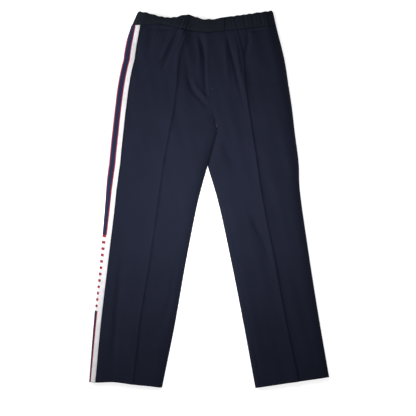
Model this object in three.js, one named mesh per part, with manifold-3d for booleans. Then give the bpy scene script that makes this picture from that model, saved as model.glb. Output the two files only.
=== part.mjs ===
// Tailored track trousers with an elasticated waistband, pressed creases and striped side tapes,
// laid flat with the front side up. Units are millimetres.
// +Z is up from the table, +Y points to the waist and +X to the wearer's left leg.
// The cloth is drawn as thin closed shells. Each leg is a flattened tube, and each layer of the
// garment is that tube at its own depth: 0 is the outside of the trouser cloth, more is further in.
import * as THREE from "three";
import { mergeVertices } from "three/addons/utils/BufferGeometryUtils.js";
import Module from "manifold-3d";

const wasm = await Module();
wasm.setup();

// ---- driving sizes ----
const CLOTH = 1.0; // thickness of the trouser cloth with its seam allowances pressed behind it
const GAP = 0.3; // clearance between two layers that lie on each other
const SEAM_GAP = 0.5; // clearance between two panels that are sewn edge to edge
const SECTION_GAP = 0.5; // clearance across the knee, where the upper and lower lengths of a leg meet

const BAND_TOP_WIDTH = 379; // flat width along the top edge of the waistband
const BAND_SEAM_WIDTH = 405; // flat width along the waistband's seam
const HIP_WIDTH = 463; // flat width a hand below the waistband
const POCKET_WIDTH = 489; // flat width at the lower end of the pocket mouths
const SEAT_WIDTH = 508; // flat width across the seat
const FORK_WIDTH = 522; // flat width at the fork, where the four inner seams meet
const PARTING_WIDTH = 540; // flat width where the legs part

const BAND_HEIGHT = 36.5; // height of the waistband at the centre front
const BACK_RISE = 1; // how much higher the back of the waistband stands
const FRONT_RISE = 272; // from the waistband's seam to the fork
const PARTING_DROP = 101; // from the fork to where the legs part
const INSEAM = 722; // from the fork to the hem, along the leg
const THIGH_DROP = 185; // from the fork to the middle of the thigh
const KNEE_DROP = 365; // from the fork to the knee
const CALF_DROP = 545; // from the fork to the middle of the calf

const CROWN = 27; // height of the garment over the table at the waist and hips
const LEG_CROWN = 19; // height of a leg at the thigh
const HEM_CROWN = 14.5; // height of a leg at the hem
const TOP_ROUND = 34; // how far in from a folded side the top layer reaches its full height
const UNDER_ROUND = 6.5; // how far in from a folded side the bottom layer meets the table
const FOLD_RISE = 3.9; // height of a leg's folded side over the bottom layer
const WAIST_FOLD_RISE = 7.5; // the same at the waistband, which is stiffer
const CREASE_HEIGHT = 1.7; // how far the pressed crease stands up
const CREASE_REACH = 11; // how far from the crease the cloth starts to rise

const TAPE_WIDTH = 42;
const TAPE_THICKNESS = 1.0;
const TAPE_GAP = 0.4; // clearance between a side tape and the cloth that it is sewn to
const ELASTIC_THICKNESS = 1.5;
const ELASTIC_ENDS = [62, 50]; // from the centre front to the elastic's ends, right and left
const LINING_THICKNESS = 0.8;
const LINING_END = 3; // from the centre front to the lining's ends
const LABEL_WIDTH = 32;
const LABEL_HEIGHT = 22;
const LABEL_THICKNESS = 0.4;
const HEM_TURNING = 38; // height of the hem that is turned up inside each leg
const POCKET_SLIT = 0.9; // width of the open pocket mouth beside the tape
const POCKET_REACH = 128; // how far a pocket bag reaches in from its mouth
const BAG_CLOTH = 0.6; // pocketing
const BAG_FOOT = 4.35; // the station that the side pocket bags reach down to
const BACK_BAG_DEPTH = 150; // how far the back pocket's bag reaches below its mouth
const BACK_BAG_THICKNESS = 2.4;

const FLY_LENGTH = 158; // from the waistband's seam to the foot of the fly
const FLY_CLOTH = 0.8; // thickness of the fly facing and the fly shield
const FACING_REACH = 12; // how far the facing reaches past the zip's tape
const FLY_DIP = 4; // how far the right front lies below the left one along the fly
const FLY_DIP_REACH = 46; // width of the right front that dips
const FLY_DIP_EASE = 30; // width over which the dip runs out
const TAB_REACH = 37; // how far the waistband's tab passes the centre front, over the right half
const TAB_ROOT = 41; // where the tab leaves the left half of the waistband
const TAB_THICKNESS = 1.2;
const STUD_INSET = 12; // from the tab's end to the middle of the stud
const STUD_DIAMETER = 11;
const STUD_PLATE = 0.6; // thickness of the stud's plate and of the socket's roof
const STUD_SIDES = 20;
const ZIP_OFFSET = 12; // from the edge of the fly to the middle of the zip
const ZIP_LENGTH = 146;
const ZIP_TAPE_WIDTH = 11.5;
const TOOTH_PITCH = 4;
const TOOTH_HEIGHT = 2.2;
const SLIDER_LENGTH = 12;
const SLIDER_WIDTH = 9;
const PULL_LENGTH = 20;
const BACK_POCKET_X = -158; // from the centre line to the middle of the back pocket
const BACK_POCKET_DROP = 78; // from the waistband's seam to the middle of its welt
const WELT_LENGTH = 130;
const WELT_HEIGHT = 12;
const WELT_THICKNESS = 0.8;
const BUTTON_DIAMETER = 15;
const BUTTON_THICKNESS = 0.9;
const BUTTON_HOLE = 1.8; // width of a hole and half the distance between two

// ---- the two halves ----
// twist is how far the front is turned towards the wearer's left at each station: it brings the
// right side tape to the front and takes the left one to the back.
// The stations run from the top edge of the waistband (0) to the hem (10).
const TOP_EDGE = 0;
const WAIST = 1;
const POCKET_END = 3;
const FORK = 5;
const PARTING = 6;
const THIGH = 7;
const KNEE = 8;
const HEM = 10;

const waistY = FRONT_RISE;
const backPocketY = waistY - BACK_POCKET_DROP;
const body = [
  { y: waistY + BAND_HEIGHT, frontX: -3, width: BAND_TOP_WIDTH, twist: 9, sideLift: 23 },
  { y: waistY, frontX: 0, width: BAND_SEAM_WIDTH, twist: 16, sideLift: 21 },
  { y: waistY * 0.72, frontX: 1, width: HIP_WIDTH, twist: 22, sideLift: 0 },
  { y: waistY * 0.46, frontX: 2, width: POCKET_WIDTH, twist: 25, sideLift: 2 },
  { y: waistY * 0.24, frontX: 4, width: SEAT_WIDTH, twist: 26, sideLift: -8 },
  { y: 0, frontX: 22, width: FORK_WIDTH, twist: 44, sideLift: -4 },
  { y: -PARTING_DROP, frontX: -6, width: PARTING_WIDTH, twist: 13.5, sideLift: 6 },
];

const halves = {
  right: {
    side: -1,
    splay: 7.94, // degrees that the leg is spread from the centre line
    axisX: -136, // where the middle of the leg would meet the fork's level
    halfWidths: [130, 119.5, 113, 102], // at the thigh, knee, calf and hem
    hemSkew: 8, // how much further down the outer end of the hem lies
    tapeTurn: [-4, 4, 21, 21, 21, 21, 19, 11, 5, 1, -2], // from the folded side to the tape's middle
    inseamTurn: [0, 0, 0, 0, 0, 0, 0, 17, 20, 20, 20], // from the inner fold to the inseam
    crease: [150, 152, 160, 163, 163, 163, 158, 154, 143, 131, 117], // from the folded side
    // The gathered waistband's uneven edges: how far a wave rises, at what turn, and how far it reaches.
    topWaves: [[-8.5, 0.43, 0.17], [7.5, 0.645, 0.085]],
    seamWaves: [[10, 0.42, 0.14]],
    dip: FLY_DIP,
  },
  left: {
    side: 1,
    splay: 10.06,
    axisX: 106,
    halfWidths: [116.5, 109.5, 106, 105],
    hemSkew: 3,
    tapeTurn: [-24, -24, -24, -24, -24, -24, -24, -24, -24, -24, -24],
    inseamTurn: [0, 0, 0, 0, 0, 0, 0, -15, -18, -17, -16],
    crease: [128, 137, 141, 133, 127, 121, 113, 108, 98, 92, 86],
    topWaves: [[2, 0.645, 0.12], [3.2, 0.27, 0.15]],
    seamWaves: [],
    dip: 0,
  },
};

// Lists with one entry for each station. The garment sinks from the seat to the hem.
const crowns = [
  CROWN - 1, CROWN, CROWN, CROWN, CROWN - 2, CROWN - 4.5,
  LEG_CROWN + 2, LEG_CROWN, LEG_CROWN - 2, LEG_CROWN - 3, HEM_CROWN,
];
const foldRises = [
  WAIST_FOLD_RISE, WAIST_FOLD_RISE, 6, 5, 4.5, FOLD_RISE + 0.3,
  FOLD_RISE, FOLD_RISE, FOLD_RISE, FOLD_RISE, FOLD_RISE,
];
// 0 where the two halves are one space, 1 where each is a tube of its own.
const closings = [0, 0, 0, 0, 0, 0.5, 1, 1, 1, 1, 1];
const creaseHeights = [0, 0, 0.5, 1, 1, 1, 1, 1, 1, 1, 1]; // share of the whole crease height

function legStations(half) {
  const spread = THREE.MathUtils.degToRad(half.splay);
  const along = new THREE.Vector2(half.side * Math.sin(spread), -Math.cos(spread));
  const out = new THREE.Vector2(half.side * Math.cos(spread), Math.sin(spread));
  const drops = [THIGH_DROP, KNEE_DROP, CALF_DROP, INSEAM];
  return drops.map((drop, i) => {
    const middle = new THREE.Vector2(half.axisX, 0).addScaledVector(along, drop);
    const skew = drop === INSEAM ? half.hemSkew : 0;
    const place = (share) =>
      middle.clone().addScaledVector(out, share * half.halfWidths[i]).addScaledVector(along, share * skew);
    return { outer: place(1), inner: place(-1) };
  });
}

for (const half of Object.values(halves)) {
  const upper = body.map((s) => ({
    outer: new THREE.Vector2(s.frontX + half.side * s.width / 2 - s.twist, s.y + s.sideLift),
    inner: new THREE.Vector2(s.frontX, s.y),
  }));
  const stations = [...upper, ...legStations(half)];
  const curve = (points) => new THREE.CatmullRomCurve3(points.map((p) => new THREE.Vector3(p.x, p.y, 0)));
  half.outerCurve = curve(stations.slice(WAIST).map((s) => s.outer));
  half.innerLegCurve = curve(stations.slice(PARTING).map((s) => s.inner));
  half.stations = stations;
}

// A value of a list with one entry for each station, at a place k between them.
function between(list, k) {
  const i = Math.min(Math.floor(k), list.length - 2);
  return THREE.MathUtils.lerp(list[i], list[i + 1], k - i);
}

// The same, eased so that it has no corner at a station.
function eased(list, k) {
  const i = Math.min(Math.floor(k), list.length - 2);
  return THREE.MathUtils.lerp(list[i], list[i + 1], THREE.MathUtils.smoothstep(k - i, 0, 1));
}

function outerPoint(half, k) {
  if (k < WAIST) {
    const [top, seam] = half.stations;
    return top.outer.clone().lerp(seam.outer, k);
  }
  const p = half.outerCurve.getPoint((k - WAIST) / (HEM - WAIST));
  return new THREE.Vector2(p.x, p.y);
}

function innerPoint(half, k) {
  if (k >= PARTING) {
    const p = half.innerLegCurve.getPoint((k - PARTING) / (HEM - PARTING));
    return new THREE.Vector2(p.x, p.y);
  }
  const i = Math.floor(k);
  return half.stations[i].inner.clone().lerp(half.stations[i + 1].inner, k - i);
}

const lift = TAPE_GAP + TAPE_THICKNESS; // the cloth lies this far over the table, on its tapes
// The height of a quarter circle of radius 1, at x from its edge.
const quarter = (x) => Math.sqrt(1 - (1 - Math.min(Math.max(x, 0), 1)) ** 2);

// How far the right front lies below the left one, near the centre front.
function dipAt(half, k, fromFront) {
  const foot = flyFootStation;
  const down = 1 - THREE.MathUtils.smoothstep(k, foot, foot + 1.2); // it runs out over 1.2 stations
  const across = 1 - THREE.MathUtils.smoothstep(fromFront, FLY_DIP_REACH, FLY_DIP_REACH + FLY_DIP_EASE);
  return half.dip * down * across;
}

// The height of an edge's waves at a turn.
function waveAt(waves, turn) {
  return waves.reduce((sum, [rise, at, reach]) => sum + rise * Math.exp(-(((turn - at) / reach) ** 2)), 0);
}

// The station at a distance below the waistband's seam, along the centre front.
function waistStation(distance) {
  let k = WAIST;
  while (k < PARTING && waistY - innerPoint(halves.right, k).y < distance) k += 0.01;
  return k;
}

const flyFootStation = waistStation(FLY_LENGTH);

// A point of a half's cross-section. sigma 0 is the folded side and 1 the centre front or the inner
// fold; from 0 to 1 it runs over the top layer, and from 1 to 2, or from -1 to 0, under the bottom one.
// One whole turn is 2, so from -2 to -1 it is on the top layer again.
function sectionPoint(half, k, sigma, depth) {
  const outer = outerPoint(half, k);
  const inner = innerPoint(half, k);
  const closed = eased(closings, k);
  const across = inner.clone().sub(outer);
  const full = across.length();
  const turn = Math.abs(sigma) > 1 ? 2 - Math.abs(sigma) : Math.abs(sigma);
  const under = sigma > 1 || (sigma < 0 && sigma >= -1);
  const width = full - depth * (1 + closed);
  const fromOuter = (width * (1 - Math.cos(Math.PI * turn))) / 2;
  const fromInner = width - fromOuter;
  const round = (under ? UNDER_ROUND : TOP_ROUND) - depth;
  const rise = quarter(fromOuter / round) * (1 - closed * (1 - quarter(fromInner / round)));
  const tip = lift + eased(foldRises, k);
  const place = outer.clone().addScaledVector(across, (fromOuter + depth) / full);
  let z = tip - (tip - lift - depth) * rise;
  if (!under) {
    const dip = dipAt(half, k, fromInner) * quarter(fromOuter / round);
    z = tip + (eased(crowns, k) - depth - tip) * rise - dip;
    const offCrease = Math.abs(fromOuter + depth - between(half.crease, k));
    z += CREASE_HEIGHT * eased(creaseHeights, k) * Math.max(0, 1 - offCrease / CREASE_REACH);
  }
  const upper = Math.max(WAIST - k, 0);
  const lower = 1 - THREE.MathUtils.smoothstep(k, WAIST, WAIST + 1);
  place.y += upper * waveAt(half.topWaves, turn);
  if (under) place.y += upper * BACK_RISE * Math.sin(Math.PI * turn);
  else place.y += (1 - upper) * lower * waveAt(half.seamWaves, turn);
  return new THREE.Vector3(place.x, place.y, z);
}

// sigma at a distance from the folded side, on top if it is positive and underneath if it is negative.
function fromSide(half, k, distance) {
  const full = innerPoint(half, k).distanceTo(outerPoint(half, k));
  return (Math.sign(distance) * Math.acos(1 - (2 * Math.abs(distance)) / full)) / Math.PI;
}

// sigma at a distance past the inner fold, or short of it if it is negative.
function pastInner(half, k, distance) {
  return 1 + fromSide(half, k, distance);
}

// ---- the common grid ----
// Every layer is cut from one grid of stations and columns, so that all layers lie parallel.
const hemTop = HEM - HEM_TURNING / (INSEAM - CALF_DROP); // the station of the turning's upper edge
const belowMouth = POCKET_END + 0.12; // where the front reaches its side seam under the tape
const inOrder = (stations) => stations.sort((a, b) => a - b);
const gridStations = inOrder([
  0, 0.5, 1, 1.25, 1.5, 1.75, 1.93, 2, 3, 3.5, 4, 5, 5.5, 6, 6.5, 7, 8, 9, hemTop, 10,
  belowMouth, flyFootStation,
]);
const topColumns = [1.2, 4, 9, 16, 25, 36]; // distances from a fold, over the top
const underColumns = [0.7, 2, 4, 6.5, 30]; // distances from a fold, underneath

// The sigmas of the grid's columns, from the top layer at the inner fold, underneath to the folded
// side, over the top to the inner fold, and on underneath. firstColumn and lastColumn mark one turn.
function gridSigmas(half, k) {
  const side = (distance) => fromSide(half, k, distance);
  const crease = between(half.crease, k);
  const full = innerPoint(half, k).distanceTo(outerPoint(half, k));
  const farthest = topColumns.at(-1);
  const top = [
    ...topColumns,
    (farthest + crease - CREASE_REACH) / 2,
    crease - CREASE_REACH,
    crease,
    crease + CREASE_REACH,
    (crease + CREASE_REACH + full - farthest) / 2,
  ].map(side);
  const topInner = topColumns.toReversed().map((d) => 1 - side(d));
  const underInner = underColumns.map((d) => side(d) - 1);
  const underOuter = underColumns.toReversed().map((d) => -side(d));
  return [
    ...topInner.map((sigma) => sigma - 2), -1, ...underInner, -0.5, ...underOuter,
    0, ...top, ...topInner, 1, ...underInner.map((sigma) => sigma + 2),
  ];
}
const firstColumn = topColumns.length;
const lastColumn = gridSigmas(halves.right, 0).length - 1 - underColumns.length;

// The place of a sigma among the grid's columns: 2.5 is halfway from column 2 to column 3.
function columnOf(half, k, sigma) {
  const sigmas = gridSigmas(half, k);
  const i = Math.min(Math.max(sigmas.findLastIndex((s) => s <= sigma), 0), sigmas.length - 2);
  return i + (sigma - sigmas[i]) / (sigmas[i + 1] - sigmas[i]);
}

function gridPoint(half, k, column, depth) {
  const row = Math.min(gridStations.findLastIndex((s) => s <= k), gridStations.length - 2);
  const [k0, k1] = [gridStations[row], gridStations[row + 1]];
  const i = Math.min(Math.floor(column), lastColumn + underColumns.length - 1);
  const onStation = (station) => {
    const sigmas = gridSigmas(half, station);
    const corner = (j) => sectionPoint(half, station, sigmas[j], depth);
    return corner(i).lerp(corner(i + 1), column - i);
  };
  return onStation(k0).lerp(onStation(k1), (k - k0) / (k1 - k0));
}

// The grid's columns between two places, with those outside brought to the nearer end.
function columnsBetween(from, to) {
  const inside = Array.from({ length: lastColumn + underColumns.length + 1 }, (_, i) => i);
  return inside.map((i) => THREE.MathUtils.clamp(i, from, to));
}

// ---- solids ----
function solidGeometry(points, faces) {
  const g = new THREE.BufferGeometry();
  const put = (list) => {
    const flat = new Float32Array(list.length * 3);
    list.forEach((i, n) => points[i].toArray(flat, n * 3));
    return flat;
  };
  const signed = faces.reduce((sum, [a, b, c]) => {
    return sum + points[a].dot(points[b].clone().cross(points[c]));
  }, 0);
  const whole = faces.filter(([a, b, c]) => {
    return !points[a].equals(points[b]) && !points[b].equals(points[c]) && !points[c].equals(points[a]);
  });
  const list = signed < 0 ? whole.map(([a, b, c]) => [a, c, b]) : whole;
  return g.setAttribute("position", new THREE.BufferAttribute(put(list.flat()), 3));
}

// A sheet with a thickness: outside(i, j) and inside(i, j) are its two faces on a grid.
function sheet(rows, columns, outside, inside) {
  const points = [];
  for (const face of [outside, inside]) {
    for (let i = 0; i < rows; i++) for (let j = 0; j < columns; j++) points.push(face(i, j));
  }
  const at = (i, j, layer) => layer * rows * columns + i * columns + j;
  const faces = [];
  const quad = (a, b, c, d) => faces.push([a, b, c], [a, c, d]);
  for (let i = 0; i < rows - 1; i++) {
    for (let j = 0; j < columns - 1; j++) {
      quad(at(i, j, 0), at(i, j + 1, 0), at(i + 1, j + 1, 0), at(i + 1, j, 0));
      quad(at(i, j, 1), at(i + 1, j, 1), at(i + 1, j + 1, 1), at(i, j + 1, 1));
    }
  }
  for (let j = 0; j < columns - 1; j++) {
    quad(at(0, j, 0), at(0, j, 1), at(0, j + 1, 1), at(0, j + 1, 0));
    quad(at(rows - 1, j, 0), at(rows - 1, j + 1, 0), at(rows - 1, j + 1, 1), at(rows - 1, j, 1));
  }
  for (let i = 0; i < rows - 1; i++) {
    quad(at(i, 0, 0), at(i + 1, 0, 0), at(i + 1, 0, 1), at(i, 0, 1));
    quad(at(i, columns - 1, 0), at(i, columns - 1, 1), at(i + 1, columns - 1, 1), at(i + 1, columns - 1, 0));
  }
  return solidGeometry(points, faces);
}

// A layer of one half between two depths. edges(k) gives the sigmas of its two edges at a station.
function layer(half, stations, edges, outerDepth, innerDepth) {
  const columns = stations.map((k) => {
    const [from, to] = edges(k).map((sigma) => columnOf(half, k, sigma));
    return columnsBetween(from, to);
  });
  const face = (depth) => (i, j) => gridPoint(half, stations[i], columns[i][j], depth);
  return sheet(stations.length, columns[0].length, face(outerDepth), face(innerDepth));
}

// Evenly spaced values from one to another.
const spaced = (from, to, steps) =>
  Array.from({ length: steps + 1 }, (_, i) => THREE.MathUtils.lerp(from, to, i / steps));

function solid(geometry) {
  const g = geometry.index ? geometry.toNonIndexed() : geometry.clone();
  g.deleteAttribute("normal");
  g.deleteAttribute("uv");
  const merged = mergeVertices(g, 1e-4);
  return new wasm.Manifold(new wasm.Mesh({
    numProp: 3,
    vertProperties: merged.attributes.position.array,
    triVerts: new Uint32Array(merged.index.array),
  }));
}

function geometryOf(made) {
  const mesh = made.getMesh();
  const g = new THREE.BufferGeometry();
  g.setAttribute("position", new THREE.BufferAttribute(new Float32Array(mesh.vertProperties), 3));
  g.setIndex(new THREE.BufferAttribute(new Uint32Array(mesh.triVerts), 1));
  return g.toNonIndexed();
}

const join = (...geometries) => geometryOf(geometries.map(solid).reduce((all, one) => all.add(one)));
const cut = (geometry, ...tools) =>
  geometryOf(tools.map(solid).reduce((left, tool) => left.subtract(tool), solid(geometry)));

// A block between two corners.
function block(x0, y0, z0, x1, y1, z1) {
  const g = new THREE.BoxGeometry(x1 - x0, y1 - y0, z1 - z0);
  return g.translate((x0 + x1) / 2, (y0 + y1) / 2, (z0 + z1) / 2);
}

// ---- materials ----
const material = (color, roughness, metalness = 0) =>
  new THREE.MeshStandardMaterial({ color, roughness, metalness });
const finish = {
  suiting: material("#23283c", 0.85),
  tape: material("#f4f2ef", 0.8),
  lining: material("#1c2130", 0.75),
  elastic: material("#2a2f3d", 0.9),
  pocketing: material("#20242f", 0.9),
  label: material("#e9e7e2", 0.8),
  metal: material("#b9bcc2", 0.35, 1),
  zipTape: material("#1e2333", 0.85),
  coil: material("#262b3a", 0.5),
  button: material("#1b1f2a", 0.35),
};

const trousers = new THREE.Group();
function add(name, geometry, look) {
  const mesh = new THREE.Mesh(geometry, look);
  mesh.name = name;
  trousers.add(mesh);
}

// ---- panels ----
const hipDrop = body[0].y - BAND_HEIGHT - body[2].y; // from the waistband's seam to the next station
const seamShare = SEAM_GAP / 2 / hipDrop; // half the seam clearance, in stations
const upperRows = gridStations.filter((k) => k > WAIST && k < KNEE);
const kneeShare = SECTION_GAP / 2 / (CALF_DROP - KNEE_DROP);
const lengths = {
  upper: [WAIST + seamShare, ...upperRows, KNEE - kneeShare],
  lower: [KNEE + kneeShare, 9, hemTop, HEM],
};

// The front's outer edge is the pocket mouth beside the tape, and below it the side seam under the tape.
function frontEdges(half, k) {
  const middle = between(half.tapeTurn, k);
  const edge = k < belowMouth ? middle + TAPE_WIDTH / 2 + POCKET_SLIT : middle + SEAM_GAP / 2;
  return [fromSide(half, k, edge), pastInner(half, k, between(half.inseamTurn, k) - SEAM_GAP / 2)];
}

function backEdges(half, k) {
  const inseam = pastInner(half, k, between(half.inseamTurn, k) + SEAM_GAP / 2) - 2;
  return [inseam, fromSide(half, k, between(half.tapeTurn, k) - SEAM_GAP / 2)];
}

function tapeEdges(half, k) {
  const middle = between(half.tapeTurn, k);
  return [fromSide(half, k, middle - TAPE_WIDTH / 2), fromSide(half, k, middle + TAPE_WIDTH / 2)];
}

for (const [name, half] of Object.entries(halves)) {
  for (const [part, stations] of Object.entries(lengths)) {
    const front = layer(half, stations, (k) => frontEdges(half, k), 0, CLOTH);
    const back = layer(half, stations, (k) => backEdges(half, k), 0, CLOTH);
    const tape = layer(half, stations, (k) => tapeEdges(half, k), -lift, -TAPE_GAP);
    add(`${name}_front_${part}`, front, finish.suiting);
    add(`${name}_back_${part}`, back, finish.suiting);
    add(`${name}_side_tape_${part}`, tape, finish.tape);
  }
}

// ---- hems: the cloth turned up inside each leg, as a closed ring ----
function ring(half, stations, outerDepth, innerDepth) {
  const columns = lastColumn - firstColumn;
  const points = [];
  for (const depth of [outerDepth, innerDepth]) {
    for (const k of stations) {
      for (let j = 0; j < columns; j++) points.push(gridPoint(half, k, firstColumn + j, depth));
    }
  }
  const rows = stations.length;
  const at = (i, j, level) => level * rows * columns + i * columns + (j % columns);
  const faces = [];
  const quad = (a, b, c, d) => faces.push([a, b, c], [a, c, d]);
  for (let j = 0; j < columns; j++) {
    for (let i = 0; i < rows - 1; i++) {
      quad(at(i, j, 0), at(i, j + 1, 0), at(i + 1, j + 1, 0), at(i + 1, j, 0));
      quad(at(i, j, 1), at(i + 1, j, 1), at(i + 1, j + 1, 1), at(i, j + 1, 1));
    }
    quad(at(0, j, 0), at(0, j, 1), at(0, j + 1, 1), at(0, j + 1, 0));
    quad(at(rows - 1, j, 0), at(rows - 1, j + 1, 0), at(rows - 1, j + 1, 1), at(rows - 1, j, 1));
  }
  return solidGeometry(points, faces);
}

for (const [name, half] of Object.entries(halves)) {
  add(`${name}_hem_facing`, ring(half, [hemTop, HEM - 0.01], CLOTH + GAP, 2 * CLOTH + GAP), finish.suiting);
}

// ---- waistband ----
const bandRows = [TOP_EDGE, 0.5, WAIST - SEAM_GAP / 2 / BAND_HEIGHT];

for (const [name, half] of Object.entries(halves)) {
  const edges = (k) => [-pastInner(half, k, -SEAM_GAP / 2), pastInner(half, k, -SEAM_GAP / 2)];
  add(`waistband_${name}`, layer(half, bandRows, edges, 0, CLOTH), finish.suiting);
}

// A strip inside the waistband: it starts and ends on the front, this far from the centre front.
function bandStrip(stations, rightEnd, leftEnd, outerDepth, innerDepth) {
  const half = (one, k, end) => columnsBetween(firstColumn, columnOf(one, k, pastInner(one, k, -end)));
  const path = stations.map((k) => [
    ...half(halves.right, k, rightEnd).toReversed().map((column) => [halves.right, column]),
    ...half(halves.left, k, leftEnd).map((column) => [halves.left, column]),
  ]);
  const face = (depth) => (i, j) => gridPoint(path[i][j][0], stations[i], path[i][j][1], depth);
  return sheet(stations.length, path[0].length, face(outerDepth), face(innerDepth));
}

const elasticDepth = CLOTH + GAP;
const liningDepth = elasticDepth + ELASTIC_THICKNESS + GAP;
const innerRows = [0.06, 0.5, 0.94];
const elastic = bandStrip(innerRows, ...ELASTIC_ENDS, elasticDepth, elasticDepth + ELASTIC_THICKNESS);
add("waistband_elastic", elastic, finish.elastic);
const lining = bandStrip(innerRows, LINING_END, LINING_END, liningDepth, liningDepth + LINING_THICKNESS);
add("waistband_lining", lining, finish.lining);

// The label lies on the lining, beside the centre back.
const label = sectionPoint(halves.left, 0.5, -0.999, liningDepth + LINING_THICKNESS + GAP);
const [labelX, labelY] = [label.x + LABEL_WIDTH / 2, label.y - 2];
add("size_label", block(
  labelX - LABEL_WIDTH / 2, labelY - LABEL_HEIGHT / 2, label.z,
  labelX + LABEL_WIDTH / 2, labelY + LABEL_HEIGHT / 2, label.z + LABEL_THICKNESS,
), finish.label);

// ---- tab and press stud ----
const tabBase = CROWN + GAP;
const tabY = (x, top) => {
  const half = x < 0 ? halves.right : halves.left;
  const turn = pastInner(half, top ? 0 : 1, -Math.abs(x));
  return sectionPoint(half, top ? 0 : 0.97, turn, 0).y;
};
const tabXs = spaced(-TAB_REACH, TAB_ROOT, 8);
const tabFace = (z) => (i, j) => new THREE.Vector3(tabXs[j], tabY(tabXs[j], i === 1), z);
add("waist_tab", sheet(2, tabXs.length, tabFace(tabBase), tabFace(tabBase + TAB_THICKNESS)), finish.suiting);

// A press stud holds the tab down: a stud on the right half of the waistband, a socket under the tab.
const underlapTop = CROWN - FLY_DIP; // the outside of the waistband's right half, under the tab
const studX = -TAB_REACH + STUD_INSET;
const studY = (tabY(studX, true) + tabY(studX, false)) / 2;
const turned = (profile, z) => {
  const g = new THREE.LatheGeometry(profile.map(([r, h]) => new THREE.Vector2(r, h)), STUD_SIDES);
  return g.rotateX(Math.PI / 2).translate(studX, studY, z);
};
const studReach = FLY_DIP - 2 * GAP; // from the waistband up to the tab's underside
const socketDepth = studReach - STUD_PLATE - GAP;
const ballRadius = STUD_DIAMETER * 0.28;
const ballTop = socketDepth; // the ball stops short of the socket's roof
add("tab_stud_socket", turned([
  [0, -STUD_PLATE], [ballRadius + GAP, -STUD_PLATE], [ballRadius + GAP, -socketDepth],
  [STUD_DIAMETER / 2, -socketDepth], [STUD_DIAMETER / 2, 0], [0, 0], [0, -STUD_PLATE],
], tabBase - GAP), finish.metal);
add("waistband_stud", turned([
  [0, 0], [STUD_DIAMETER / 2, 0], [STUD_DIAMETER / 2, STUD_PLATE], [ballRadius * 0.75, STUD_PLATE],
  [ballRadius, ballTop - 0.5], [ballRadius * 0.7, ballTop], [0, ballTop], [0, 0],
], underlapTop + GAP), finish.metal);

// ---- fly and zip ----
// The layers under the fly, from the top: facing, slider with the zip's chain in it, shield.
// They are flat, so they lie as low as the cloth over the foot of the fly makes them.
const flyCrown = eased(crowns, flyFootStation);
const leftFrontUnder = flyCrown - CLOTH;
const rightFrontUnder = flyCrown - FLY_DIP - CLOTH;
const facingTop = leftFrontUnder - 2 * GAP;
const facingUnder = facingTop - FLY_CLOTH;
const flyTop = waistY - 3; // the fly's layers stop short of the waistband
const flyFoot = waistY - FLY_LENGTH;
const chainMiddle = flyCrown - 7; // height of the middle of the zip's chain
const zipX = ZIP_OFFSET;
const zipTop = flyTop - 4;
const zipFoot = zipTop - ZIP_LENGTH;
const toothDepth = 2.6; // from the back of a row's spine to the tips of its teeth
const tapeHalf = 0.3; // half the thickness of the zip's tape
const tapeStart = 1.4 + toothDepth - GAP; // from the zip's middle to the tape's inner edge
const plateGap = TOOTH_HEIGHT / 2 + GAP;
const plateThickness = 0.8;
const shieldTop = chainMiddle - plateGap - plateThickness - GAP;
const shieldUnder = shieldTop - FLY_CLOTH;

// The facing starts past the edge of the right front, which dips below it. It has a fold that the
// left zip tape is sewn to, and the shield has one for the right tape.
const facingStart = innerPoint(halves.left, flyFootStation).x;
const leftWeb = zipX + tapeStart + ZIP_TAPE_WIDTH + GAP;
add("fly_facing", join(
  block(facingStart, flyFoot, facingUnder, leftWeb + FACING_REACH, flyTop, facingTop),
  block(leftWeb, flyFoot, chainMiddle - tapeHalf, leftWeb + FLY_CLOTH, flyTop, facingTop),
), finish.suiting);

const rightWeb = zipX - tapeStart - ZIP_TAPE_WIDTH - GAP;
add("fly_shield", join(
  block(rightWeb - FLY_CLOTH, flyFoot, shieldUnder, leftWeb - 2, flyTop, shieldTop),
  block(rightWeb - FLY_CLOTH, flyFoot, shieldUnder, rightWeb, flyTop, rightFrontUnder - GAP),
), finish.suiting);

for (const [name, side] of [["right", -1], ["left", 1]]) {
  const x0 = zipX + side * tapeStart;
  const x1 = zipX + side * (tapeStart + ZIP_TAPE_WIDTH);
  const [low, high] = [Math.min(x0, x1), Math.max(x0, x1)];
  const [foot, top] = [zipFoot - 6, zipTop + 3]; // the tape runs past both ends of the chain
  const tape = block(low, foot, chainMiddle - tapeHalf, high, top, chainMiddle + tapeHalf);
  add(`zip_tape_${name}`, tape, finish.zipTape);
}

// A row of teeth is a comb: a spine along the tape's edge and teeth that reach between the other row's.
function toothRow(side) {
  const shape = new THREE.Shape();
  const root = zipX + side * (tapeStart - GAP);
  const spine = zipX + side * 1.6;
  const tip = zipX - side * 1.0;
  const start = zipFoot + 3 + (side > 0 ? TOOTH_PITCH / 2 : 0);
  const toothWidth = TOOTH_PITCH / 2 - GAP;
  shape.moveTo(root, zipFoot + 1);
  shape.lineTo(spine, zipFoot + 1);
  for (let y = start; y + toothWidth < zipTop - 6; y += TOOTH_PITCH) {
    shape.lineTo(spine, y);
    shape.lineTo(tip, y);
    shape.lineTo(tip, y + toothWidth);
    shape.lineTo(spine, y + toothWidth);
  }
  shape.lineTo(spine, zipTop - 5);
  shape.lineTo(root, zipTop - 5);
  const g = new THREE.ExtrudeGeometry(shape, { depth: TOOTH_HEIGHT, bevelEnabled: false });
  return g.translate(0, 0, chainMiddle - TOOTH_HEIGHT / 2);
}
add("zip_teeth_right", toothRow(-1), finish.coil);
add("zip_teeth_left", toothRow(1), finish.coil);

const bottomStop = block(-2.6, -3.5, -1, 2.6, 0.5, 1).translate(zipX, zipFoot, chainMiddle);
add("zip_bottom_stop", bottomStop, finish.metal);

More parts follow.
